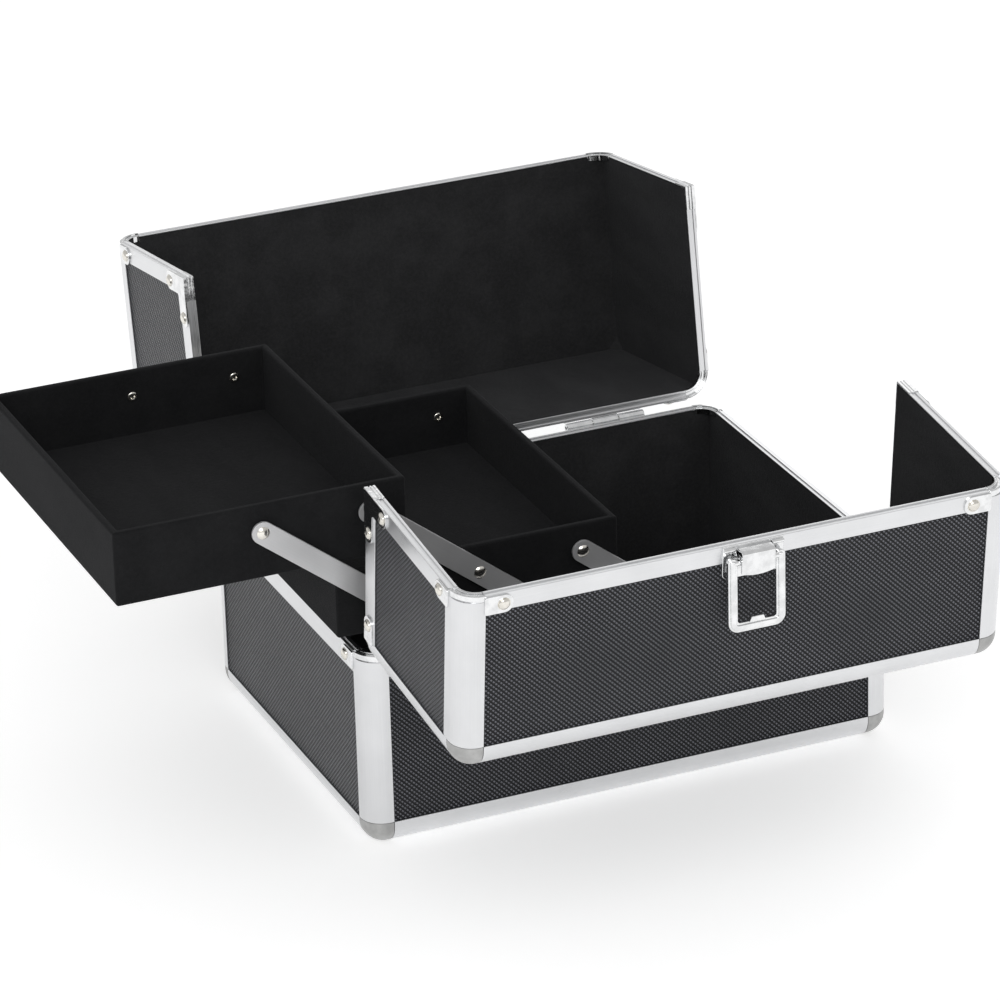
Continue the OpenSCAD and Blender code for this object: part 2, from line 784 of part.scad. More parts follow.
module lid_rim_rails(depth, seam_tongue) {
    difference() {
        union() {
            translate([-half_w, 0, 0]) rim_rail(case_w - 2 * edge_leg, rim_h, false);
            translate([-half_w, depth, lid_h]) mirror([0, 1, 0]) rotate([-90, 0, 0])
                rim_rail(case_w - 2 * edge_leg, seam_rim_h, seam_tongue);
            at_wall_corners() second_wall() mitred_rail(depth, rim_h, false);
            at_seam_corners(depth) second_wall() mitred_rail(lid_h, seam_rim_h, seam_tongue);
        }
        at_wall_corners() second_wall() translate([edge_leg, 0, 0]) tongue_slot(depth);
        lid_drills(depth);
    }
}

module lid_rim_brackets(depth, seam_tongue) {
    at_wall_corners() rim_bracket(false);
    at_seam_corners(depth) rim_bracket(seam_tongue);
    at_square_corners(depth) rim_angle();
}

module lid_rivets(depth) {
    at_wall_corners() at_both_bracket_rivets() tab_rivet();
    at_seam_corners(depth) at_both_bracket_rivets() tab_rivet();
    at_square_corners(depth) at_angle_rivets() tab_rivet();
    at_lid_hinges() at_leaf_rivets() leaf_rivet();
}

module lid_lining(depth) {
    difference() {
        union() {
            translate([-half_w, 0, 0]) felt_wall(case_w, lid_h, board_t, board_t);
            translate([-half_w, depth, lid_h]) mirror([0, 1, 0]) rotate([-90, 0, 0])
                felt_wall(case_w, depth, board_t, board_t);
            both_sides() lid_side_board(depth, board_t, wall_t, rim_lip_t, board_t);
        }
        both_sides() translate([-half_w, 0, lid_h]) mirror([0, 0, 1]) cube(edge_leg);
    }
}

module lid_hinge_leaves() {
    at_lid_hinges() hinge_leaf([1], hinge_pin_r + run_fit);
}

// ---- Rear lid ----

module rear_lid_wall_panel() {
    color(panel_colour) rear_lid_place() lid_wall_panel(rear_lid_d);
}

module rear_lid_top_panel() {
    color(panel_colour) rear_lid_place() difference() {
        lid_top_panel(rear_lid_d);
        translate([-latch_x, lock_v, lid_h - board_t - cut]) cylinder(r = lock_r, h = board_t + 2 * cut);
    }
}

module rear_lid_side_panels() {
    color(panel_colour) rear_lid_place() lid_side_panels(rear_lid_d);
}

module rear_lid_edge_profiles() {
    color(aluminium) rear_lid_place() lid_edge_profiles(rear_lid_d);
}

module rear_lid_corner_caps() {
    color(cap_grey) rear_lid_place() lid_corner_caps();
}

module rear_lid_rim_rails() {
    color(aluminium) rear_lid_place() lid_rim_rails(rear_lid_d, true);
}

module rear_lid_rim_brackets() {
    color(bright) rear_lid_place() lid_rim_brackets(rear_lid_d, true);
}

module rear_lid_rivets() {
    color(nickel) rear_lid_place() lid_rivets(rear_lid_d);
}

module rear_lid_lining() {
    color(felt) rear_lid_place() lid_lining(rear_lid_d);
}

module rear_lid_hinge_leaves() {
    color(bright) rear_lid_place() lid_hinge_leaves();
}

// Plate with a lip that the loop's lower bar hooks under when the case is shut
module catch_plate() {
    low_v = catch_bar_v - loop_bar;
    post_v = catch_bar_v + loop_bar / 2 + catch_gap;
    lip_w = latch_pivot_w + loop_t / 2 + catch_gap;
    color(bright) rear_lid_place() translate([-latch_x, 0, lid_h]) difference() {
        union() {
            translate([-latch_plate_w / 2, low_v, 0]) cube([latch_plate_w, rear_lid_d - low_v, latch_plate_t]);
            translate([-catch_w / 2, post_v, 0]) cube([catch_w, catch_post_t, lip_w - lid_h]);
            translate([-catch_w / 2, catch_bar_v - loop_bar / 2, lip_w - lid_h])
                cube([catch_w, post_v + catch_post_t - catch_bar_v + loop_bar / 2, latch_plate_t]);
        }
        translate([0, lock_v, -cut]) cylinder(r = lock_r, h = latch_plate_t + 2 * cut);
    }
}

// Key cylinder in the catch plate, with a plain key slot
module catch_lock() {
    color(nickel) rear_lid_place() translate([-latch_x, lock_v, lid_h - lock_sink]) difference() {
        cylinder(r = lock_r, h = lock_sink + latch_plate_t + lock_rise);
        translate([-key_slot_w / 2, -lock_r / 2, lock_sink + latch_plate_t]) cube([key_slot_w, lock_r, lock_rise + cut]);
    }
}

module handle_brackets() {
    color(bright) rear_lid_place() both_sides() translate([-handle_span / 2, handle_v, 0]) difference() {
        union() {
            translate([-handle_foot[0] + handle_ear_t, -handle_foot[1] / 2, lid_h - panel_inset]) cube(handle_foot);
            translate([0, -handle_ear_r, lid_h - panel_inset])
                cube([handle_ear_t, 2 * handle_ear_r, handle_pivot_w - lid_h + panel_inset]);
            translate([0, 0, handle_pivot_w]) rotate([0, 90, 0]) cylinder(r = handle_ear_r, h = handle_ear_t);
        }
        translate([-cut, 0, handle_pivot_w]) rotate([0, 90, 0])
            cylinder(r = handle_pin_r + run_fit, h = handle_ear_t + 2 * cut);
    }
}

// ---- Front lid ----

module front_lid_wall_panel() {
    color(panel_colour) front_lid_place() lid_wall_panel(front_lid_d);
}

module front_lid_top_panel() {
    color(panel_colour) front_lid_place() lid_top_panel(front_lid_d);
}

module front_lid_side_panels() {
    color(panel_colour) front_lid_place() lid_side_panels(front_lid_d);
}

module front_lid_edge_profiles() {
    color(aluminium) front_lid_place() lid_edge_profiles(front_lid_d);
}

module front_lid_corner_caps() {
    color(cap_grey) front_lid_place() lid_corner_caps();
}

module front_lid_rim_rails() {
    color(aluminium) front_lid_place() lid_rim_rails(front_lid_d, false);
}

module front_lid_rim_brackets() {
    color(bright) front_lid_place() lid_rim_brackets(front_lid_d, false);
}

module front_lid_rivets() {
    color(nickel) front_lid_place() lid_rivets(front_lid_d);
}

module front_lid_lining() {
    color(felt) front_lid_place() lid_lining(front_lid_d);
}

module front_lid_hinge_leaves() {
    color(bright) front_lid_place() lid_hinge_leaves();
}

// Plate over the seam rim, with a curl round the loop's pivot bar under a bent hook face
module latch_plate() {
    pivot_up = latch_pivot_w - lid_h;
    color(bright) front_lid_place() translate([latch_x, 0, lid_h]) difference() {
        union() {
            translate([-latch_plate_w / 2, front_lid_d - latch_plate_h, 0])
                cube([latch_plate_w, latch_plate_h, latch_plate_t]);
            translate([-hook_w / 2, latch_pivot_v, 0]) cube([hook_w, hook_r, pivot_up]);
            translate([-hook_w / 2, latch_pivot_v, pivot_up]) rotate([0, 90, 0]) cylinder(r = hook_r, h = hook_w);
            translate([-hook_w / 2, latch_pivot_v - hook_flap_l, pivot_up + hook_r - hook_flap_t])
                cube([hook_w, hook_flap_l + hook_rise, hook_flap_t]);
            translate([-hook_w / 2, latch_pivot_v + hook_rise - hook_flap_t, 0])
                cube([hook_w, hook_flap_t, pivot_up + hook_r]);
        }
        translate([0, latch_pivot_v, pivot_up]) rotate([0, 90, 0])
            cylinder(r = loop_pin_r + run_fit, h = hook_w + 2 * cut, center = true);
    }
}

// Rectangle with rounded corners, centred on the origin
module rounded_rectangle(size, r) {
    square([size[0] - 2 * r, size[1]], center = true);
    square([size[0], size[1] - 2 * r], center = true);
    for (x = [-1, 1]) for (y = [-1, 1]) translate([x * (size[0] / 2 - r), y * (size[1] / 2 - r)]) circle(r);
}

// The loop hangs from its pivot bar, with a small pull lip inside its lower bar
module latch_loop() {
    outer_l = loop_l + loop_bar / 2;
    inner_r = loop_r / 2;
    color(bright) translate([latch_x, front_y(latch_pivot_v, latch_pivot_w), front_z(latch_pivot_v, latch_pivot_w)]) {
        rotate([90, 0, 0]) translate([0, -outer_l / 2 + loop_bar / 2, -loop_t / 2]) linear_extrude(loop_t)
            difference() {
                rounded_rectangle([loop_w, outer_l], loop_r);
                rounded_rectangle([loop_in_w, outer_l - 2 * loop_bar], inner_r);
                translate([-loop_in_w / 2, outer_l / 2 - loop_bar - inner_r])
                    square([loop_in_w, loop_bar + inner_r + cut]);
            }
        rotate([0, 90, 0]) cylinder(r = loop_pin_r, h = loop_in_w + loop_bar, center = true);
        translate([-loop_lip_w / 2, -loop_t / 2, -loop_l + loop_bar]) cube([loop_lip_w, loop_t / 2, loop_lip_h]);
    }
}

// ---- Handle ----

module handle_place() {
    translate([0, rear_y(handle_v, handle_pivot_w), rear_z(handle_v, handle_pivot_w)]) children();
}

// Bent wire that hangs from two pins in the brackets' ears
module handle_bail() {
    color(bright) handle_place() {
        both_sides() {
            translate([-handle_span / 2, 0, 0]) rotate([0, 90, 0])
                cylinder(r = handle_pin_r, h = handle_pin_l);
            translate([-handle_arm_x, 0, 0]) sphere(handle_rod_r);
            translate([-handle_arm_x, 0, -handle_l]) cylinder(r = handle_rod_r, h = handle_l);
            translate([-handle_arm_x, 0, -handle_l]) sphere(handle_rod_r);
        }
        translate([0, 0, -handle_l]) rotate([0, 90, 0])
            cylinder(r = handle_rod_r, h = 2 * handle_arm_x, center = true);
    }
}

module handle_grip() {
    color(felt) handle_place() translate([0, 0, -handle_l]) rotate([0, 90, 0]) difference() {
        union() {
            cylinder(r = grip_r, h = grip_l - 2 * grip_r, center = true);
            for (end = [-1, 1]) translate([0, 0, end * (grip_l / 2 - grip_r)]) sphere(grip_r);
        }
        cylinder(r = handle_rod_r, h = grip_l + 2 * cut, center = true);
    }
}

// ---- Trays ----

module lower_tray_boards() {
    color(felt) tray_boards(lower_tray_place, lower_tray_pivots, lower_tray_h);
}

module lower_tray_pad() {
    color(felt) tray_felt(lower_tray_place);
}

module lower_tray_rivets() {
    color(nickel) at_tray_pivots(lower_tray_pivots) pivot_rivet(tray_wall, tray_gap);
}

module upper_tray_boards() {
    color(felt) tray_boards(upper_tray_place, upper_tray_pivots, upper_tray_h);
}

module upper_tray_pad() {
    color(felt) tray_felt(upper_tray_place);
}

module upper_tray_rivets() {
    color(nickel) at_tray_pivots(upper_tray_pivots) pivot_rivet(tray_wall, tray_gap);
}

// ---- Arms ----

module long_arm_front() {
    color(nickel) front_arm(long_arm_pivots);
}

module long_arm_rear() {
    color(nickel) rear_arm(long_arm_pivots);
}

module lower_arm_front() {
    color(nickel) front_arm(lower_arm_pivots);
}

module lower_arm_rear() {
    color(nickel) rear_arm(lower_arm_pivots);
}

module upper_arm_front() {
    color(nickel) front_arm(upper_arm_pivots);
}

module upper_arm_rear() {
    color(nickel) rear_arm(upper_arm_pivots);
}

base_front_panel();
base_rear_panel();
base_left_panel();
base_right_panel();
base_floor_panel();
base_corner_posts();
base_edge_profiles();
base_corner_caps();
base_rim_rails();
base_rim_brackets();
base_rivets();
base_lining();
base_hinge_leaves();
hinge_pins();
box_pivot_rivets();
rear_lid_wall_panel();
rear_lid_top_panel();
rear_lid_side_panels();
rear_lid_edge_profiles();
rear_lid_corner_caps();
rear_lid_rim_rails();
rear_lid_rim_brackets();
rear_lid_rivets();
rear_lid_lining();
rear_lid_hinge_leaves();
catch_plate();
catch_lock();
handle_brackets();
front_lid_wall_panel();
front_lid_top_panel();
front_lid_side_panels();
front_lid_edge_profiles();
front_lid_corner_caps();
front_lid_rim_rails();
front_lid_rim_brackets();
front_lid_rivets();
front_lid_lining();
front_lid_hinge_leaves();
latch_plate();
latch_loop();
handle_bail();
handle_grip();
lower_tray_boards();
lower_tray_pad();
lower_tray_rivets();
upper_tray_boards();
upper_tray_pad();
upper_tray_rivets();
long_arm_front();
long_arm_rear();
lower_arm_front();
lower_arm_rear();
upper_arm_front();
upper_arm_rear();
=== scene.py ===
"""Looks of the makeup train case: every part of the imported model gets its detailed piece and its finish."""

import logging
import math
from collections.abc import Sequence
from dataclasses import dataclass, field
from enum import Enum
from typing import Any

import bmesh
import bpy
from mathutils import Matrix, Vector


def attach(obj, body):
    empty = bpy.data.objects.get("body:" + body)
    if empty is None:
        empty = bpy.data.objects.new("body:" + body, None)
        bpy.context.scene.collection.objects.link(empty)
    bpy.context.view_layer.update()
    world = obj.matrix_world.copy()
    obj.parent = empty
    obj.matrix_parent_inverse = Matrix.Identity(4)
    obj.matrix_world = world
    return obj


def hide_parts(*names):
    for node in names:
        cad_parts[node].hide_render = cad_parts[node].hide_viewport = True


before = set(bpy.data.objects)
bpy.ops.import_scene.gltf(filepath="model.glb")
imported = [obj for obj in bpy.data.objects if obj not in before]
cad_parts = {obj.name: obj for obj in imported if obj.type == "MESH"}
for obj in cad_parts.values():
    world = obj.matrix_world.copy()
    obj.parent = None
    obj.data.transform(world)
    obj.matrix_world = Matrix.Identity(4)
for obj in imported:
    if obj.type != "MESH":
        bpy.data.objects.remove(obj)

LOG = logging.getLogger("train_case")
MM = 0.001                       # metres in a millimetre
SMOOTH_BELOW = math.radians(42)  # edges flatter than this are shaded smooth
Point = tuple[float, float, float]
Spot = tuple[float, float]
Outline = Sequence[Spot]


# ---- Placing ----


def moved(x: float = 0.0, y: float = 0.0, z: float = 0.0) -> Matrix:
    """Returns the matrix that moves a shape, in millimetres."""
    return Matrix.Translation((x, y, z))


def turned(degrees: float, axis: str) -> Matrix:
    """Returns the matrix that turns a shape about X, Y or Z."""
    return Matrix.Rotation(math.radians(degrees), 4, axis)


def flipped(axis: str) -> Matrix:
    """Returns the matrix that mirrors a shape along X, Y or Z."""
    return Matrix.Diagonal([-1.0 if name == axis else 1.0 for name in "XYZ"] + [1.0])


HERE = Matrix.Identity(4)
SECOND_WALL = Matrix(((0, 1, 0, 0), (1, 0, 0, 0), (0, 0, 1, 0), (0, 0, 0, 1)))   # swaps X and Y
UPRIGHT = Matrix(((0, 1, 0, 0), (0, 0, 1, 0), (1, 0, 0, 0), (0, 0, 0, 1)))       # stands a bar up along Z
ON_EDGE = Matrix(((0, 0, 1, 0), (0, 1, 0, 0), (1, 0, 0, 0), (0, 0, 0, 1)))       # swaps X and Z


def twins(axis: str, places: Sequence[Matrix]) -> list[Matrix]:
    """Returns the places, followed by their mirror images along an axis."""
    return [*places, *(flipped(axis) @ place for place in places)]


def quarters(place: Matrix) -> list[Matrix]:
    """Returns a place at one corner of the case and its images at the other three."""
    return twins("Y", twins("X", [place]))


def within(bases: Sequence[Matrix], places: Sequence[Matrix]) -> list[Matrix]:
    """Returns every one of the places as it lies in every one of the bases."""
    return [base @ place for base in bases for place in places]


def arc(radius: float, start: float, step: float, count: int, middle: Spot = (0.0, 0.0)) -> list[Spot]:
    """Gives points round a middle.

    Args:
        radius: Their distance from the middle.
        start: Angle of the first one, in degrees from the first axis.
        step: Angle from each to the next, in degrees.
        count: How many there are.
        middle: The middle.

    Returns:
        The points.
    """
    angles = [math.radians(start + step * number) for number in range(count)]
    return [(middle[0] + radius * math.cos(a), middle[1] + radius * math.sin(a)) for a in angles]


# ---- Shader kit ----


class Wire:
    """A shader's output socket that takes part in Python expressions on numbers."""

    def __init__(self, desk: "Desk", socket: bpy.types.NodeSocket) -> None:
        """Wraps an output socket of a node on the desk."""
        self.desk = desk
        self.socket = socket

    def math(self, operation: str, *others: "Wire | float") -> "Wire":
        """Adds a Math node whose inputs are this wire and the others, and returns its result."""
        return self.desk.wire("ShaderNodeMath", {"operation": operation}, dict(enumerate((self, *others))))

    def __add__(self, other: "Wire | float") -> "Wire":
        """Adds."""
        return self.math("ADD", other)

    def __sub__(self, other: "Wire | float") -> "Wire":
        """Subtracts."""
        return self.math("SUBTRACT", other)

    def __rsub__(self, other: float) -> "Wire":
        """Subtracts from a number."""
        return (self * -1.0) + other

    def __mul__(self, other: "Wire | float") -> "Wire":
        """Multiplies."""
        return self.math("MULTIPLY", other)

    def __truediv__(self, other: float) -> "Wire":
        """Divides by a number."""
        return self.math("MULTIPLY", 1.0 / other)

    def wave(self, half_period: float) -> "Wire":
        """Returns a triangle wave from 0 to half_period and back."""
        return self.math("PINGPONG", half_period)

    def least(self, other: "Wire | float") -> "Wire":
        """Returns the smaller of two values."""
        return self.math("MINIMUM", other)

    def ramp(self, low: float, high: float) -> "Wire":
        """Returns 0 below low and 1 above high, smooth in between."""
        return self.desk.wire("ShaderNodeMapRange", {"interpolation_type": "SMOOTHSTEP"},
                              {"Value": self, "From Min": low, "From Max": high})


class Desk:
    """The node tree of one material, with one way to add any node."""

    def __init__(self, name: str) -> None:
        """Makes the material.

        Args:
            name: The material's name.
        """
        self.made = bpy.data.materials.new(name)
        self.made.use_nodes = True
        self.tree = self.made.node_tree
        self.tree.nodes.clear()

    def node(self, kind: str, settings: dict[str, Any], inputs: dict[Any, Any]) -> bpy.types.Node:
        """Adds a node.

        Args:
            kind: The node's type.
            settings: The node's own settings, which are set first.
            inputs: A value, Wire or socket for each input, by its name or number.

        Returns:
            The new node.
        """
        node = self.tree.nodes.new(kind)
        for key, value in settings.items():
            setattr(node, key, value)
        for key, value in inputs.items():
            if isinstance(value, Wire):
                self.tree.links.new(value.socket, node.inputs[key])
            else:
                node.inputs[key].default_value = value
        return node

    def wire(self, kind: str, settings: dict[str, Any], inputs: dict[Any, Any],
             output: int | str = 0) -> Wire:
        """Adds a node and returns one of its outputs; the arguments are those of node()."""
        return Wire(self, self.node(kind, settings, inputs).outputs[output])

    def place(self, scale: Point = (1.0, 1.0, 1.0), turn: Matrix | None = None) -> Wire:
        """Gives the piece's own coordinates in millimetres.

        Args:
            scale: How much each axis is stretched after the turn.
            turn: The place whose own axes are wanted, if not the case's.

        Returns:
            The coordinates.
        """
        spot = self.wire("ShaderNodeTexCoord", {}, {}, "Object")
        if turn is not None:
            spot = self.wire("ShaderNodeMapping", {},
                             {"Vector": spot, "Rotation": turn.inverted().to_euler("XYZ")})
        return self.stretched(spot, tuple(share / MM for share in scale))

    def stretched(self, spot: Wire, scale: Point) -> Wire:
        """Multiplies a vector by one factor for each axis."""
        return self.wire("ShaderNodeVectorMath", {"operation": "MULTIPLY"}, {0: spot, 1: scale})

    def grain(self, scale: Point) -> Wire:
        """Gives coordinates in millimetres along and across the grain of a drawn bar, stretched by scale."""
        return self.stretched(self.wire("ShaderNodeUVMap", {"uv_map": "grain"}, {}), scale)

    def parts(self, vector: Wire) -> list[Wire]:
        """Splits a vector into X, Y and Z."""
        return [Wire(self, part) for part in self.node("ShaderNodeSeparateXYZ", {}, {0: vector}).outputs]

    def noise(self, spot: Wire, scale: float, detail: float = 2.0, roughness: float = 0.5) -> Wire:
        """Adds fractal noise, 0.5 on average, with scale waves for each unit of spot."""
        return self.wire("ShaderNodeTexNoise", {"noise_dimensions": "3D"},
                         {"Vector": spot, "Scale": scale, "Detail": detail, "Roughness": roughness})

    def mix(self, share: Wire, low: Point, high: Point) -> Wire:
        """Mixes two colours, the second one by its share from 0 to 1."""
        return self.wire("ShaderNodeMix", {"data_type": "RGBA"}, {0: share, 6: (*low, 1), 7: (*high, 1)}, 2)

    def bump(self, height: Wire) -> Wire:
        """Turns a height in millimetres into a surface normal."""
        return self.wire("ShaderNodeBump", {}, {"Strength": 1.0, "Distance": MM, "Height": height})

    def close(self, settings: dict[str, Any]) -> bpy.types.Material:
        """Adds the surface shader and its output.

        Args:
            settings: Values and wires for the shader's inputs.

        Returns:
            The material.
        """
        surface = self.wire("ShaderNodeBsdfPrincipled", {}, settings)
        self.node("ShaderNodeOutputMaterial", {}, {"Surface": surface})
        return self.made


# ---- Finishes ----


class Plane(Enum):
    """The plane that a panel's embossing lies in, in the frame of the box or lid that carries it."""

    FRONT = "XZ"
    SIDE = "YZ"
    TOP = "XY"


@dataclass(frozen=True)
class Finish:
    """A finish that pieces share; each kind says how its material is made.

    Where a finish has two colours, dull or ground is the low one and tint, pile or its lighter colour the
    high one. On the embossed panel the lighter colour is a painted highlight on the diamonds' crowns; on the
    grip plastic it is a lighter tone.
    """

    name: str
    slot: str

    def paint(self, desk: Desk) -> bpy.types.Material:
        """Builds the material's nodes on a desk and returns it."""
        raise NotImplementedError

    def material(self) -> bpy.types.Material:
        """Returns the finish's material, made once."""
        return bpy.data.materials.get(self.name) or self.paint(Desk(self.name))


@dataclass(frozen=True)
class EmbossedPanel(Finish):
    """Black ABS sheet pressed with fine diamonds, whose crowns carry a painted highlight."""

    slot: str = "black_panel"
    plane: Plane = Plane.FRONT
    turn: Matrix | None = field(default=None, compare=False)
    pitch: float = 2.7
    depth: float = 0.80
    ground: Point = (0.0115, 0.0120, 0.0135)
    # lighter colour of the diamonds' crowns: a painted highlight standing in for the light their relief
    # catches
    light_tone_and_highlight: Point = (0.180, 0.185, 0.205)

    def paint(self, desk: Desk) -> bpy.types.Material:
        """Builds the material.

        Args:
            desk: The desk that its nodes stand on.

        Returns:
            The material.
        """
        spot = desk.place(turn=self.turn)
        axes = dict(zip("XYZ", desk.parts(spot)))
        across, up = (axes[name] for name in self.plane.value)
        half = self.pitch / 2
        stud = (across + up).wave(half).least((across - up).wave(half) * 1.5) / half
        crown = stud.ramp(0.0, 0.85)
        cloud = desk.noise(spot, 0.03, 3.0)
        speck = desk.noise(spot, 2.1, 1.0)
        dust = desk.noise(spot, 0.4, 4.0, 0.65)
        # painted highlight: the diamonds' crowns are coloured lighter to stand in for the light their relief
        # catches; the cloud varies it at random
        colour = desk.mix(crown.ramp(0.45, 1.0) * (cloud * 0.5 + 0.55), self.ground, self.light_tone_and_highlight)
        relief = crown * self.depth + speck * 0.02
        return desk.close({"Base Color": colour, "Roughness": dust * 0.16 + 0.30 - crown * 0.06,
                           "Normal": desk.bump(relief), "Specular IOR Level": 0.18})


@dataclass(frozen=True)
class DrawnMetal(Finish):
    """Drawn or rolled metal with fine lines along its length."""

    tint: Point = (0.75, 0.755, 0.765)
    dull: Point = (0.64, 0.645, 0.655)
    roughness: float = 0.30
    line_depth: float = 0.004
    metallic: float = 1.0

    def paint(self, desk: Desk) -> bpy.types.Material:
        """Builds the material.

        Args:
            desk: The desk that its nodes stand on.

        Returns:
            The material.
        """
        lines = desk.noise(desk.grain((0.012, 5.0, 1.0)), 1.0, 3.0, 0.6)
        fine = desk.noise(desk.grain((0.04, 14.0, 1.0)), 1.0, 2.0)
        cloud = desk.noise(desk.place(), 0.045, 3.0)
        wear = desk.noise(desk.place(), 0.5, 5.0, 0.7).ramp(0.60, 0.74)
        colour = desk.mix((lines * 0.7 + cloud * 0.6 - 0.15).ramp(0.1, 0.9), self.dull, self.tint)
        rough = lines * 0.10 + cloud * 0.08 + wear * 0.07 + (self.roughness - 0.09)
        relief = (lines + fine) * self.line_depth
        return desk.close({"Base Color": colour, "Metallic": self.metallic, "Roughness": rough,
                           "Normal": desk.bump(relief)})


@dataclass(frozen=True)
class CastMetal(Finish):
    """Die-cast metal with a fine matt skin."""

    tint: Point = (0.46, 0.46, 0.455)
    dull: Point = (0.34, 0.34, 0.335)
    metallic: float = 0.65
    roughness: float = 0.46

    def paint(self, desk: Desk) -> bpy.types.Material:
        """Builds the material.

        Args:
            desk: The desk that its nodes stand on.

        Returns:
            The material.
        """
        spot = desk.place()
        skin = desk.noise(spot, 2.6, 3.0, 0.6)
        cloud = desk.noise(spot, 0.12, 3.0)
        pits = desk.noise(spot, 0.9, 2.0).ramp(0.62, 0.75)
        colour = desk.mix(cloud.ramp(0.3, 0.7) * (1 - pits * 0.5), self.dull, self.tint)
        rough = cloud * 0.10 + skin * 0.08 + (self.roughness - 0.09)
        return desk.close({"Base Color": colour, "Metallic": self.metallic, "Roughness": rough,
                           "Normal": desk.bump(skin * 0.035 - pits * 0.03)})


@dataclass(frozen=True)
class PlatedMetal(Finish):
    """Bright plating, smooth with faint smudges and hairlines."""

    tint: Point = (0.82, 0.825, 0.83)
    dull: Point = (0.68, 0.685, 0.69)
    roughness: float = 0.12

    def paint(self, desk: Desk) -> bpy.types.Material:
        """Builds the material.

        Args:
            desk: The desk that its nodes stand on.

        Returns:
            The material.
        """
        spot = desk.place()
        smudge = desk.noise(spot, 0.16, 4.0, 0.6)
        wave = desk.noise(spot, 0.28, 1.0)
        hair = desk.noise(desk.place((0.2, 3.0, 3.0)), 1.3, 3.0, 0.7).ramp(0.62, 0.70)
        colour = desk.mix(smudge.ramp(0.35, 0.65), self.dull, self.tint)
        rough = smudge * 0.12 + hair * 0.10 + (self.roughness - 0.05)
        return desk.close({"Base Color": colour, "Metallic": 1.0, "Roughness": rough,
                           "Normal": desk.bump(wave * 0.05 + smudge * 0.02)})


@dataclass(frozen=True)
class Felt(Finish):
    """Short black pile glued on board, with a soft sheen on its edges."""

    ground: Point = (0.0140, 0.0142, 0.0150)
    pile: Point = (0.0360, 0.0362, 0.0375)
    sheen: float = 0.05

    def paint(self, desk: Desk) -> bpy.types.Material:
        """Builds the material.

        Args:
            desk: The desk that its nodes stand on.

        Returns:
            The material.
        """
        spot = desk.place()
        fibre = desk.noise(spot, 2.4, 4.0, 0.7)
        clump = desk.noise(spot, 0.55, 3.0, 0.6)
        nap = desk.noise(desk.place((1.0, 0.35, 1.0)), 0.045, 3.0, 0.55)
        lint = desk.noise(spot, 1.1, 2.0).ramp(0.735, 0.78)
        share = fibre.ramp(0.25, 0.8) * 0.5 + clump.ramp(0.3, 0.75) * 0.25 + nap.ramp(0.35, 0.7) * 0.30
        colour = desk.mix(share + lint * 0.6, self.ground, self.pile)
        relief = fibre * 0.22 + clump * 0.20 + nap * 0.25
        return desk.close({"Base Color": colour, "Roughness": fibre * 0.10 + 0.88,
                           "Specular IOR Level": 0.08, "Sheen Weight": self.sheen, "Sheen Roughness": 0.45,
                           "Sheen Tint": (0.85, 0.86, 0.9, 1), "Normal": desk.bump(relief)})


@dataclass(frozen=True)
class MouldedPlastic(Finish):
    """Black moulded plastic with a fine spark-eroded skin."""

    ground: Point = (0.016, 0.016, 0.017)
    light_tone_and_highlight: Point = (0.035, 0.035, 0.036)

    def paint(self, desk: Desk) -> bpy.types.Material:
        """Builds the material.

        Args:
            desk: The desk that its nodes stand on.

        Returns:
            The material.
        """
        spot = desk.place()
        skin = desk.noise(spot, 3.2, 2.0)
        cloud = desk.noise(spot, 0.1, 3.0)
        colour = desk.mix(cloud.ramp(0.35, 0.75), self.ground, self.light_tone_and_highlight)
        return desk.close({"Base Color": colour, "Roughness": cloud * 0.15 + 0.36,
                           "Normal": desk.bump(skin * 0.04)})


ALUMINIUM = DrawnMetal("satin_aluminium_drawn", "satin_aluminium")
STEEL = DrawnMetal("satin_steel_strip", "satin_steel", (0.66, 0.66, 0.665), (0.54, 0.54, 0.55),
                   roughness=0.40, metallic=0.6)
CAP_METAL = CastMetal("cast_cap_metal", "cast_cap")
CHROME = PlatedMetal("bright_plating", "bright_plate")
NICKEL = PlatedMetal("nickel_plating", "nickel", (0.80, 0.775, 0.72), (0.66, 0.635, 0.58), 0.20)
FELT = Felt("black_felt_pile", "black_felt")
TRAY_FELT = Felt("black_tray_felt", "black_felt", (0.0068, 0.0070, 0.0076), (0.0160, 0.0162, 0.0170), 0.04)
GRIP = MouldedPlastic("black_grip_plastic", "black_grip")


# ---- Bench ----


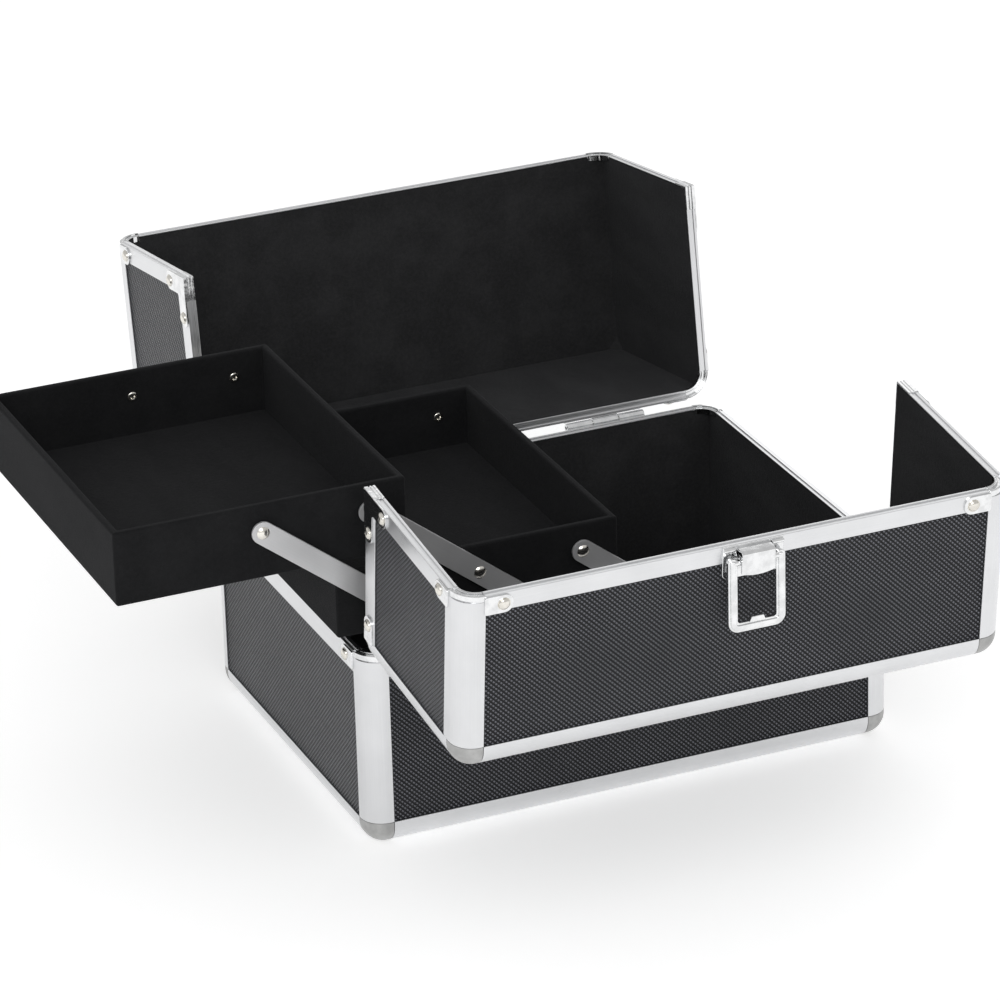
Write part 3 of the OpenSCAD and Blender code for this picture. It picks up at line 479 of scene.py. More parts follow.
class Stock:
    """A workpiece: one mesh in millimetres that operators shape."""

    def __init__(self) -> None:
        """Starts with an empty bench."""
        self.bm = bmesh.new()
        self.tip: list[bmesh.types.BMFace] = []

    def block(self, low: Point, high: Point) -> "Stock":
        """Adds a block.

        Args:
            low: Its lowest corner.
            high: Its highest corner.

        Returns:
            This workpiece.
        """
        made = bmesh.ops.create_cube(self.bm, size=1.0)["verts"]
        low_corner, high_corner = Vector(low), Vector(high)
        bmesh.ops.scale(self.bm, vec=high_corner - low_corner, verts=made)
        bmesh.ops.translate(self.bm, vec=(low_corner + high_corner) / 2, verts=made)
        return self

    def pushed(self, faces: Sequence[bmesh.types.BMFace], way: Point) -> "Stock":
        """Extrudes faces.

        Args:
            faces: The faces.
            way: How far and where to.

        Returns:
            This workpiece.
        """
        inner = [face for face in faces if all(len(edge.link_faces) > 1 for edge in face.edges)]
        made = bmesh.ops.extrude_face_region(self.bm, geom=list(faces))["geom"]
        ends = [part for part in made if isinstance(part, bmesh.types.BMVert)]
        bmesh.ops.translate(self.bm, vec=way, verts=ends)
        bmesh.ops.delete(self.bm, geom=inner, context="FACES_KEEP_BOUNDARY")
        self.tip = [part for part in made if isinstance(part, bmesh.types.BMFace)]
        return self

    def bar(self, section: Outline, start: float, end: float) -> "Stock":
        """Draws a bar along X from start to end; its section is a row of (y, z) corners."""
        corners = [self.bm.verts.new((start, y, z)) for y, z in section]
        return self.pushed([self.bm.faces.new(corners)], (end - start, 0.0, 0.0))

    def plate(self, outline: Outline, low: float, high: float) -> "Stock":
        """Cuts a flat plate from Z = low to high; its outline is a row of (x, y) corners."""
        corners = [self.bm.verts.new((x, y, low)) for x, y in outline]
        return self.pushed([self.bm.faces.new(corners)], (0.0, 0.0, high - low))

    def lathe(self, profile: Outline, steps: int = 24) -> "Stock":
        """Turns a profile about Z.

        Args:
            profile: (radius, height) points, the first and last of them on the axis or the same.
            steps: Flats round the turned shape.

        Returns:
            This workpiece.
        """
        points = [self.bm.verts.new((radius, 0.0, height)) for radius, height in profile]
        lines = [self.bm.edges.new(pair) for pair in zip(points, points[1:])]
        bmesh.ops.spin(self.bm, geom=points + lines, cent=(0, 0, 0), axis=(0, 0, 1),
                       angle=math.tau, steps=steps, use_merge=True)
        bmesh.ops.remove_doubles(self.bm, verts=self.bm.verts[:], dist=1e-4)
        return self

    def pin(self, radius: float, length: float, steps: int, bevel: float = 0.3) -> "Stock":
        """Turns a pin with bevelled ends, which stands on the origin."""
        half = [(0.0, 0.0), (radius - bevel, 0.0), (radius, bevel)]
        return self.lathe([*half, *((across, length - up) for across, up in reversed(half))], steps)

    def rod(self, start: Point, radius: float, legs: Sequence[tuple[float, float, Point]]) -> "Stock":
        """Bends a rod that sets out along X.

        Args:
            start: Middle of its first end.
            radius: Its radius.
            legs: For each leg its straight length, the bend radius after it and the way it goes on.

        Returns:
            This workpiece.
        """
        spot, ahead = Vector(start), Vector((1.0, 0.0, 0.0))
        ring = bmesh.ops.create_circle(self.bm, cap_ends=True, radius=radius, segments=20,
                                       matrix=Matrix.Translation(spot) @ turned(90, "Y"))["verts"]
        self.tip = [ring[0].link_faces[0]]
        for length, bend, way in legs:
            self.pushed(self.tip, tuple(ahead * length))
            spot += ahead * length
            if bend:
                side, root = Vector(way), self.tip
                centre = spot + side * bend
                made = bmesh.ops.spin(self.bm, geom=root, cent=centre, axis=ahead.cross(side),
                                      angle=math.radians(90), steps=7)["geom_last"]
                bmesh.ops.delete(self.bm, geom=root, context="FACES_KEEP_BOUNDARY")
                self.tip = [part for part in made if isinstance(part, bmesh.types.BMFace)]
                spot, ahead = centre + ahead * bend, side
        return self

    def edges_at(self, x: float | None = None, y: float | None = None, z: float | None = None
                 ) -> list[bmesh.types.BMEdge]:
        """Finds edges whose two ends both have the coordinates that are given.

        Args:
            x: X of the ends, if it matters.
            y: Y of the ends, if it matters.
            z: Z of the ends, if it matters.

        Returns:
            The edges.
        """
        def fits(vert: bmesh.types.BMVert) -> bool:
            """Tells whether a corner has the coordinates."""
            return all(want is None or abs(have - want) < 1e-3 for have, want in zip(vert.co, (x, y, z)))
        return [edge for edge in self.bm.edges if all(fits(vert) for vert in edge.verts)]

    def rounded(self, edges: Sequence[bmesh.types.BMEdge], radius: float, segments: int) -> "Stock":
        """Rounds edges.

        Args:
            edges: The edges.
            radius: Radius of the rounding.
            segments: Flats across it.

        Returns:
            This workpiece.
        """
        bmesh.ops.bevel(self.bm, geom=list(edges), offset=radius, offset_type="OFFSET", segments=segments,
                        profile=0.5, affect="EDGES", material=-1, clamp_overlap=True)
        return self

    def softened(self, radius: float = 0.3, segments: int = 2, sharper_than: float = 50.0) -> "Stock":
        """Breaks the sharp edges.

        Args:
            radius: Radius of the broken edges.
            segments: Flats across them.
            sharper_than: The least angle between faces that counts as sharp, in degrees.

        Returns:
            This workpiece.
        """
        bmesh.ops.recalc_face_normals(self.bm, faces=self.bm.faces[:])
        limit = math.radians(sharper_than)
        sharp = [edge for edge in self.bm.edges
                 if len(edge.link_faces) == 2 and edge.calc_face_angle() > limit]
        return self.rounded(sharp, radius, segments)

    def cut(self, at: Point, normal: Point) -> "Stock":
        """Saws off what lies beyond a plane and closes the cut.

        Args:
            at: A point of the plane.
            normal: Points to the side that is taken away.

        Returns:
            This workpiece.
        """
        geom = self.bm.verts[:] + self.bm.edges[:] + self.bm.faces[:]
        made = bmesh.ops.bisect_plane(self.bm, geom=geom, plane_co=at, plane_no=normal, clear_outer=True)
        rim = [part for part in made["geom_cut"] if isinstance(part, bmesh.types.BMEdge)]
        bmesh.ops.contextual_create(self.bm, geom=rim)
        return self

    def grained(self) -> "Stock":
        """Writes the grain along X as the map that drawn metal reads."""
        layer = self.bm.loops.layers.uv.get("grain") or self.bm.loops.layers.uv.new("grain")
        for face in self.bm.faces:
            for loop in face.loops:
                loop[layer].uv = (loop.vert.co.x, loop.vert.co.y - loop.vert.co.z)
        return self

    def add(self, part: "Stock", places: Sequence[Matrix] = (HERE,)) -> "Stock":
        """Adds copies of another workpiece.

        Args:
            part: The other workpiece.
            places: Where each copy goes.

        Returns:
            This workpiece.
        """
        for place in places:
            copy = bpy.data.meshes.new("copy")
            part.bm.to_mesh(copy)
            copy.transform(place)
            if place.determinant() < 0:
                copy.flip_normals()
            self.bm.from_mesh(copy)
            bpy.data.meshes.remove(copy)
        return self

    def finished(self, name: str, body: str, finish: Finish, replaces: Sequence[str]) -> bpy.types.Object:
        """Makes the workpiece an object of the case.

        Args:
            name: The piece's name.
            body: The body that it rides on.
            finish: Its finish.
            replaces: The nodes that it stands for.

        Returns:
            The piece.
        """
        bmesh.ops.recalc_face_normals(self.bm, faces=self.bm.faces[:])
        bmesh.ops.scale(self.bm, vec=(MM, MM, MM), verts=self.bm.verts[:])
        loose = sum(len(edge.link_faces) != 2 for edge in self.bm.edges)
        mesh = bpy.data.meshes.new(name)
        self.bm.to_mesh(mesh)
        self.bm.free()
        mesh.shade_smooth()
        mesh.set_sharp_from_angle(angle=SMOOTH_BELOW)
        mesh.materials.append(finish.material())
        piece = bpy.data.objects.new(name, mesh)
        bpy.context.scene.collection.objects.link(piece)
        even = piece.modifiers.new("even_normals", "WEIGHTED_NORMAL")
        even.keep_sharp = True
        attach(piece, body)
        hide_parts(*replaces)
        LOG.info("%s: %d faces, %d open edges, on %s", name, len(mesh.polygons), loose, body)
        return piece


def dress(node: str, finish: Finish) -> None:
    """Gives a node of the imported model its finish.

    Args:
        node: The node.
        finish: Its finish.
    """
    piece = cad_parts[node]
    if not piece.material_slots:
        piece.data.materials.append(None)
    for material_slot in piece.material_slots:
        material_slot.material = finish.material()
    LOG.info("%s: dressed", node)


# ---- Sizes that the sub-assemblies share ----


@dataclass(frozen=True)
class CaseSizes:
    """Sizes of the case's frame, in millimetres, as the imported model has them."""

    case_w: float = 300.0
    case_d: float = 220.0
    base_h: float = 109.0
    lid_h: float = 119.0
    hinge_out: float = 3.0
    rim_gap: float = 0.4
    edge_leg: float = 14.0
    edge_r: float = 12.0
    panel_grip: float = 2.0
    panel_inset: float = 0.8
    panel_t: float = 3.2
    lining_t: float = 0.8
    floor_lip: float = 1.5
    rim_h: float = 12.0
    seam_rim_h: float = 9.5
    rim_web: float = 2.2
    rim_lip_t: float = 0.8
    rim_lip_reach: float = 0.2
    ring_h: float = 3.2
    tongue_w: float = 1.4
    tongue_h: float = 1.2
    tongue_gap: float = 0.3
    hinge_x: float = 85.0

    @property
    def half_w(self) -> float:
        """Half the case's width."""
        return self.case_w / 2

    @property
    def half_d(self) -> float:
        """Half the case's depth."""
        return self.case_d / 2

    @property
    def board_t(self) -> float:
        """From the frame's face to the back of a panel."""
        return self.panel_inset + self.panel_t

    @property
    def wall_t(self) -> float:
        """From the frame's face to the felt."""
        return self.board_t + self.lining_t

    @property
    def rim_t(self) -> float:
        """Width of the rim's sealing face."""
        return self.wall_t + self.rim_lip_reach

    def seal_half(self, tongue: bool) -> float:
        """Half the width of the rim's tongue, or of the groove that takes it."""
        return self.tongue_w / 2 + (0.0 if tongue else self.tongue_gap)


SIZES = CaseSizes()
CORNER_FLATS = 14                # flats across a rounded corner of the frame
LATCH_X = 5.5                    # where the latch and its catch stand, right of the middle

# Where the linkage's pivots lie at rest, as (x, z): in the box, in the lower tray and in the upper tray.
LONG_FOOT, LOWER_FOOT = (-21.3, 93.8), (36.2, 93.8)
UPPER_FOOT, LONG_MIDDLE, LOWER_HEAD = (-137.507, 139.667), (-80.007, 139.667), (-22.507, 139.667)
UPPER_HEAD, LONG_HEAD = (-196.214, 185.534), (-138.714, 185.534)


# ---- Parts that the box and the lids have in common ----


@dataclass
class EdgeProfile:
    """Drawn angle with a rounded corner, whose two lips hold the panels."""

    sizes: CaseSizes = SIZES
    lip_break: float = 0.25

    def drawn(self, length: float, second_leg: float = SIZES.edge_leg) -> Stock:
        """Draws a length of it along X, its corner at the origin and its legs to +Y and +Z.

        Args:
            length: The length.
            second_leg: Width of the leg to +Z.

        Returns:
            The bar.
        """
        s = self.sizes
        lip, slot, back = s.panel_inset, s.edge_leg - s.panel_grip, s.board_t
        upright = [(0.0, second_leg), (lip, second_leg), (lip, slot), (back, slot), (back, back)]
        section = [(0.0, 0.0), *upright, (slot, back), (slot, lip), (s.edge_leg, lip), (s.edge_leg, 0.0)]
        stock = Stock().bar(section, 0.0, length)
        stock.rounded(stock.edges_at(y=0.0, z=0.0), s.edge_r, CORNER_FLATS)
        return stock.softened(self.lip_break, 2).grained()


@dataclass
class CornerCap:
    """Die-cast ball corner, a hollow eighth of a ball with three skirts."""

    sizes: CaseSizes = SIZES
    seam: float = 0.15
    shell: float = 1.5

    def cast(self) -> Stock:
        """Casts one with its outer corner at the origin."""
        high = self.sizes.edge_leg - self.seam
        ball = Stock().block((0.0, 0.0, 0.0), (high, high, high))
        outer = [*ball.edges_at(x=0.0, y=0.0), *ball.edges_at(y=0.0, z=0.0), *ball.edges_at(x=0.0, z=0.0)]
        ball.rounded(outer, self.sizes.edge_r, CORNER_FLATS)
        bm = ball.bm
        inner = [face for face in bm.faces
                 if any(all(abs(vert.co[axis] - high) < 1e-3 for vert in face.verts) for axis in range(3))]
        bmesh.ops.delete(bm, geom=inner, context="FACES")
        bmesh.ops.recalc_face_normals(bm, faces=bm.faces[:])
        if sum(face.normal.dot(face.calc_center_median() - Vector((high,) * 3)) for face in bm.faces) < 0:
            bmesh.ops.reverse_faces(bm, faces=bm.faces[:])
        bmesh.ops.solidify(bm, geom=bm.faces[:], thickness=self.shell)
        return ball.softened(sharper_than=60.0)


@dataclass
class RimRail:
    """Rolled rail with a tongue or a groove along its sealing face."""

    sizes: CaseSizes = SIZES
    edge_break: float = 0.22
    groove: float = 0.5
    tongue: float = 0.8

    def section(self, height: float, tongue: bool) -> Outline:
        """Gives its section: Y runs inwards from the outer face and Z away from the sealing face.

        Args:
            height: Height of its outer wall.
            tongue: Whether it has the tongue; the other kind has the groove.

        Returns:
            The section's corners.
        """
        s = self.sizes
        half, middle = s.seal_half(tongue), s.rim_t / 2
        depth = -self.tongue if tongue else self.groove
        return [(0.0, 0.0), (middle - half, 0.0), (middle - half, depth), (middle + half, depth),
                (middle + half, 0.0), (s.rim_t, 0.0), (s.rim_t, s.rim_lip_t), (s.board_t, s.rim_lip_t),
                (s.board_t, s.rim_web), (s.panel_inset, s.rim_web), (s.panel_inset, height), (0.0, height)]

    def drawn(self, length: float, height: float, tongue: bool, meets: float = 0.0) -> Stock:
        """Draws a rail along X from the rounded corner.

        Args:
            length: Its length, or the reach of its mitre from the case's corner.
            height: Height of its outer wall.
            tongue: Whether it has the tongue.
            meets: Height of the rail that its mitred end meets, if it has one.

        Returns:
            The rail.
        """
        start = self.sizes.edge_leg
        end = length if meets else start + length
        stock = Stock().bar(self.section(height, tongue), start, end)
        if meets:
            stock.cut((end, 0.0, 0.0), (height, 0.0, meets))
        return stock.softened(self.edge_break, 2).grained()


@dataclass
class RimBracket:
    """Plated corner of a rim: a ribbed quarter ring with two riveted tabs."""

    sizes: CaseSizes = SIZES
    tab_t: float = 1.0
    tab_w: float = 10.5
    tab_end_r: float = 5.0
    rivet_at: float = 23.0
    rib_h: float = 0.55
    rib_land: float = 0.4
    fold_l: float = 13.0
    fold_h: float = 0.4
    valleys: Spot = (1.2, 2.9)
    valley: Outline = ((0.0, -0.4), (0.35, -0.03), (0.6, -0.03), (0.95, -0.4))

    def ring(self, tongue: bool) -> Stock:
        """Spins the ring from its section.

        Args:
            tongue: Whether the rim carries the tongue.

        Returns:
            The ring.
        """
        s, land = self.sizes, self.rib_land
        outer, inner, middle = s.edge_leg, s.edge_leg - s.rim_t, s.edge_leg - s.rim_t / 2
        near, far = middle - s.seal_half(tongue), middle + s.seal_half(tongue)
        stops = [inner, inner + land, near - land, near, far, far + land, outer - land, outer]
        levels = [0.0, self.rib_h, 0.0, -s.tongue_h if tongue else s.tongue_h, 0.0, self.rib_h, 0.0]
        face_line = [(radius, z) for number, z in enumerate(levels) for radius in stops[number:number + 2]]
        stock = Stock()
        corners = [stock.bm.verts.new((outer - radius, outer, z))
                   for radius, z in [*face_line, (outer, s.ring_h), (inner, s.ring_h)]]
        bmesh.ops.spin(stock.bm, geom=[stock.bm.faces.new(corners)], cent=(outer, outer, 0), axis=(0, 0, 1),
                       angle=math.radians(90), steps=CORNER_FLATS)
        return stock.softened(0.14, 1, 60.0)

    def tab(self) -> Stock:
        """Cuts the tab on the first wall, its root rounded less than its free end."""
        root, end = self.sizes.edge_leg - 1.0, self.rivet_at + self.tab_end_r
        stock = Stock().block((root, -self.tab_t, 0.6), (end, 0.2, self.tab_w))
        for x, radius, flats in ((end, self.tab_end_r - 0.6, 6), (root, 1.2, 3)):
            corners = [edge for edge in stock.edges_at(x=x)
                       if abs(edge.verts[0].co.y - edge.verts[1].co.y) > 0.5]
            stock.rounded(corners, radius, flats)
        return stock.softened()

    def made(self, tongue: bool) -> Stock:
        """Joins the ring, for a rim with the tongue or without it, and its two tabs."""
        return Stock().add(self.ring(tongue)).add(self.tab(), [HERE, SECOND_WALL])

    def angle(self) -> Stock:
        """Cuts the flat angle that covers the mitre of two rims and folds its ribbed ends over them."""
        reach, wide = self.rivet_at + self.tab_end_r, self.tab_w
        stock = Stock().plate([(0, 0), (reach, 0), (reach, wide), (wide, wide), (wide, reach), (0, reach)],
                              -0.1, self.tab_t)
        ends = [(reach, 0.0), (reach, wide), (0.0, reach), (wide, reach)]
        stock.rounded([edge for x, y in ends for edge in stock.edges_at(x=x, y=y)], self.tab_end_r - 0.4, 6)
        stock.rounded([*stock.edges_at(x=wide, y=wide), *stock.edges_at(x=0.0, y=0.0)], 1.6, 4)
        stock.softened()
        ribs = [(start + y, z) for start in self.valleys for y, z in self.valley]
        end, face = self.sizes.rim_t - 0.1, -self.fold_h
        fold = Stock().bar([(-self.tab_t, 0.6), (-self.tab_t, -0.1), (-0.7, face), *ribs, (end, face),
                            (end, 0.2), (0.0, 0.6)], -self.fold_l, 1.0)
        fold.cut((0.0, 0.0, 0.0), (1.0, 0.0, 1.0)).softened(0.1, 1)
        laid = turned(-90, "X") @ flipped("X")
        return stock.add(fold, [laid, SECOND_WALL @ laid])

    def rivet_places(self) -> list[Matrix]:
        """Returns where the rivets of a rounded bracket stand, Z out of the face."""
        first = moved(self.rivet_at, 0.0, self.tab_w - self.tab_end_r) @ turned(90, "X")
        return [first, SECOND_WALL @ first]

    def angle_rivet_places(self) -> list[Matrix]:
        """Returns where the rivets of a flat angle stand."""
        inset = self.tab_w - self.tab_end_r
        return [moved(self.rivet_at, inset), moved(inset, self.rivet_at)]


@dataclass
class Rivet:
    """Domed rivet with a set collar and a small upset mark in the middle of its head."""

    head_r: float = 3.4
    head_h: float = 1.6
    seat: float = 1.0
    shank_r: float = 1.5
    steps: int = 28

    def turned(self) -> Stock:
        """Turns one, its seat above the origin and its shank below."""
        shank, share = self.shank_r / self.head_r, 0.88
        dome = [(share * math.cos(a), 0.12 + share * math.sin(a))
                for a in (math.radians(angle) for angle in (0, 14, 30, 46, 62, 76))]
        mark = [(0.16, 0.985), (0.10, 0.93), (0.0, 0.92)]   # like the dome, in shares of the head's size
        head = [(across * self.head_r, self.seat + up * self.head_h)
                for across, up in [(shank, 0.0), (1.0, 0.0), (1.0, 0.10), (0.95, 0.16), *dome, *mark]]
        return Stock().lathe([(0.0, -1.0), (self.shank_r, -1.0), *head], self.steps)


RIM_RIVET, LEAF_RIVET = Rivet(), Rivet(2.2, 0.6)


@dataclass
class HingeLeaf:
    """Pressed hinge leaf with rolled knuckles, its pin along X."""

    sizes: CaseSizes = SIZES
    width: float = 47.0
    height: float = 11.0
    thick: float = 1.0
    knuckle_r: float = 2.4
    knuckle_gap: float = 0.3
    pin_r: float = 1.3

    def pressed(self, knuckles: Sequence[int]) -> Stock:
        """Presses one, its leaf to +Z on the wall at Y = hinge_out.

        Args:
            knuckles: Which of the three knuckles it has.

        Returns:
            The leaf.
        """
        out, half = self.sizes.hinge_out, self.width / 2
        wide = (self.width - 2 * self.knuckle_gap) / 3
        leaf = Stock().block((-half, out - self.thick, self.knuckle_r + 0.4), (half, out, self.height))
        corners = [edge for x in (-half, half) for edge in leaf.edges_at(x=x, z=self.height)]
        leaf.rounded(corners, 2.5, 5).softened(0.22, 2)
        stock = Stock().add(leaf)
        for number in knuckles:
            start = -half + number * (wide + self.knuckle_gap)
            web = Stock().block((start, out - self.thick, 0.0), (start + wide, out, self.knuckle_r + 0.6))
            stock.add(web.softened(0.15, 1))
            stock.add(Stock().pin(self.knuckle_r, wide, 28), [moved(start) @ turned(90, "Y")])
        return stock

    def pin(self) -> Stock:
        """Turns the hinge's pin, which lies along X about the middle."""
        lying = moved(-self.width / 2) @ turned(90, "Y")
        return Stock().add(Stock().pin(self.pin_r, self.width, 20), [lying])

    def rivet_places(self) -> list[Matrix]:
        """Returns where its two rivets stand."""
        return [moved(end * self.width / 3, self.sizes.hinge_out, self.height * 0.65) @ turned(90, "X")
                for end in (-1, 1)]


@dataclass
class FeltBoard:
    """Felt glued on a wall, cut round the rim's corners."""

    sizes: CaseSizes = SIZES
    soft: float = 0.3
    slant: float = 15.3
    gusset_span: Spot = (4.2, 12.0)
    gusset_faces: Spot = (6.5, 6.97)

    def gusset(self) -> Stock:
        """Cuts the three-cornered patch that closes the felt behind a ball corner at the origin."""
        (near, far), (low, high) = self.gusset_span, self.gusset_faces
        patch = Stock().block((near,) * 3, (far,) * 3)
        return patch.cut((low,) * 3, (-1.0, -1.0, -1.0)).cut((high,) * 3, (1.0, 1.0, 1.0))

    def cut_out(self, outline: Outline) -> Stock:
        """Cuts one that stands on its panel; its outline runs along the wall and away from the rim."""
        sheet = Stock().plate(outline, -self.sizes.wall_t, -self.sizes.board_t).softened(self.soft, 2)
        return Stock().add(sheet, [turned(90, "X")])

    def wall(self, width: float, height: float, side: float, end: float) -> Stock:
        """Cuts one for a wall between two rounded rim corners.

        Args:
            width: Width of the wall.
            height: Height of the wall.
            side: Where it stops before the wall's sides.
            end: Where it stops before the wall's far edge.

        Returns:
            The felt.
        """
        leg, ring, lip = self.sizes.edge_leg, self.sizes.ring_h, self.sizes.rim_lip_t
        half = [(self.slant - end, height - end), (side, height - self.slant + side), (side, ring),
                (leg, ring), (leg, lip)]
        return self.cut_out([*half, *((width - x, z) for x, z in reversed(half))])

    def lid_side(self, depth: float) -> Stock:
        """Cuts one for a lid's side.

        Args:
            depth: Depth of the lid.

        Returns:
            The felt.
        """
        s, slant = self.sizes, self.slant
        back, top, ring, lip, leg = s.board_t, s.lid_h, s.ring_h, s.rim_lip_t, s.edge_leg
        return self.cut_out([
            (back, ring), (leg, ring), (leg, lip), (depth - lip, lip), (depth - lip, top - leg),
            (depth - ring, top - leg), (depth - ring, top - back), (slant - back, top - back),
            (back, top - slant + back)])


# ---- Bottom box ----


@dataclass
class BottomBox:
    """The bottom box: frame, panels, rim, lining, hinge leaves and the pins of the arms."""

    sizes: CaseSizes = SIZES
    arm_gap: float = 5.1
    body: str = "base"

    def corners(self) -> list[Matrix]:
        """Returns the four top corners: X and Y run inwards along the rim and Z down the post."""
        s = self.sizes
        return quarters(moved(-s.half_w, -s.half_d, s.base_h) @ flipped("Z"))

    def hinges(self) -> list[Matrix]:
        """Returns the four hinge axes, leaf down."""
        s = self.sizes
        return quarters(moved(-s.hinge_x, -s.half_d - s.hinge_out, s.base_h) @ flipped("Z"))

    def frame_bars(self) -> None:
        """Draws the posts and the bottom edges."""
        s, profile = self.sizes, EdgeProfile(self.sizes)
        stand = quarters(moved(-s.half_w, -s.half_d, s.edge_leg) @ UPRIGHT)
        Stock().add(profile.drawn(s.base_h - s.ring_h - s.edge_leg), stand).finished(
            "box_posts", self.body, ALUMINIUM, ["base_corner_posts"])
        front = moved(-s.half_w + s.edge_leg, -s.half_d)
        side = moved(-s.half_w, -s.half_d + s.edge_leg) @ SECOND_WALL
        edges = Stock().add(profile.drawn(s.case_w - 2 * s.edge_leg), twins("Y", [front]))
        edges.add(profile.drawn(s.case_d - 2 * s.edge_leg), twins("X", [side]))
        edges.finished("box_bottom_edges", self.body, ALUMINIUM, ["base_edge_profiles"])
        Stock().add(CornerCap(s).cast(), quarters(moved(-s.half_w, -s.half_d))).finished(
            "box_corner_caps", self.body, CAP_METAL, ["base_corner_caps"])

    def rim(self) -> None:
        """Draws the rim's rails and sets its brackets, hinges and rivets."""
        s, rail, bracket = self.sizes, RimRail(self.sizes), RimBracket(self.sizes)
        leaf, first = HingeLeaf(self.sizes), self.corners()[0]
        rails = Stock().add(rail.drawn(s.case_w - 2 * s.edge_leg, s.rim_h, True), twins("Y", [first]))
        rails.add(rail.drawn(s.case_d - 2 * s.edge_leg, s.rim_h, True), twins("X", [first @ SECOND_WALL]))
        rails.finished("box_rim_rails", self.body, ALUMINIUM, ["base_rim_rails"])
        Stock().add(bracket.made(True), self.corners()).finished(
            "box_rim_brackets", self.body, CHROME, ["base_rim_brackets"])
        rivets = Stock().add(RIM_RIVET.turned(), within(self.corners(), bracket.rivet_places()))
        rivets.add(LEAF_RIVET.turned(), within(self.hinges(), leaf.rivet_places()))
        rivets.finished("box_rivets", self.body, NICKEL, ["base_rivets"])
        Stock().add(leaf.pressed((0, 2)), self.hinges()).finished(
            "box_hinge_leaves", self.body, CHROME, ["base_hinge_leaves"])
        Stock().add(leaf.pin(), self.hinges()).finished("box_hinge_pins", self.body, NICKEL, ["hinge_pins"])

    def lining(self) -> None:
        """Glues the felt on the walls and the floor."""
        s, felt = self.sizes, FeltBoard(self.sizes)
        low, corner = s.panel_t + s.floor_lip, self.corners()[0]
        stock = Stock().add(felt.wall(s.case_w, s.base_h, s.board_t, low), twins("Y", [corner]))
        stock.add(felt.wall(s.case_d, s.base_h, s.wall_t, low), twins("X", [corner @ SECOND_WALL]))
        x, y, near = s.half_w - s.wall_t, s.half_d - s.wall_t, felt.slant - s.wall_t
        notch = [(x, s.half_d - near), (s.half_w - near, s.half_d - near), (s.half_w - near, y)]
        outline = [(right * a, behind * b) for right, behind in ((-1, -1), (1, -1), (1, 1), (-1, 1))
                   for a, b in (notch if right == behind else reversed(notch))]
        stock.add(Stock().plate(outline, s.panel_t, low).softened(0.4, 2))
        stock.add(felt.gusset(), quarters(moved(-s.half_w, -s.half_d)))
        stock.finished("box_lining", self.body, FELT, ["base_lining"])

    def arm_pins(self) -> None:
        """Turns the pins that the arms swing on."""
        s = self.sizes
        pin = PivotPin(s.wall_t - s.panel_inset, s.rim_lip_reach + self.arm_gap).turned()
        places = [moved(x, -s.half_d + s.wall_t, z) @ turned(-90, "X") for x, z in (LONG_FOOT, LOWER_FOOT)]
        Stock().add(pin, twins("Y", places)).finished("box_arm_pins", self.body, NICKEL, ["box_pivot_rivets"])

    def build(self) -> None:
        """Builds and dresses the whole box."""
        self.frame_bars()
        self.rim()
        self.lining()
        self.arm_pins()
        front, side, floor = (EmbossedPanel(f"panel_box_{kind}", plane=plane) for kind, plane in (
            ("front", Plane.FRONT), ("side", Plane.SIDE), ("floor", Plane.TOP)))
        finishes = {"front": front, "rear": front, "left": side, "right": side, "floor": floor}
        for part, finish in finishes.items():
            dress(f"base_{part}_panel", finish)


# ---- Lids ----


class LidSide(Enum):
    """Which lid: the body that it is and the node names' start."""

    FRONT = "front_lid"
    REAR = "rear_lid"


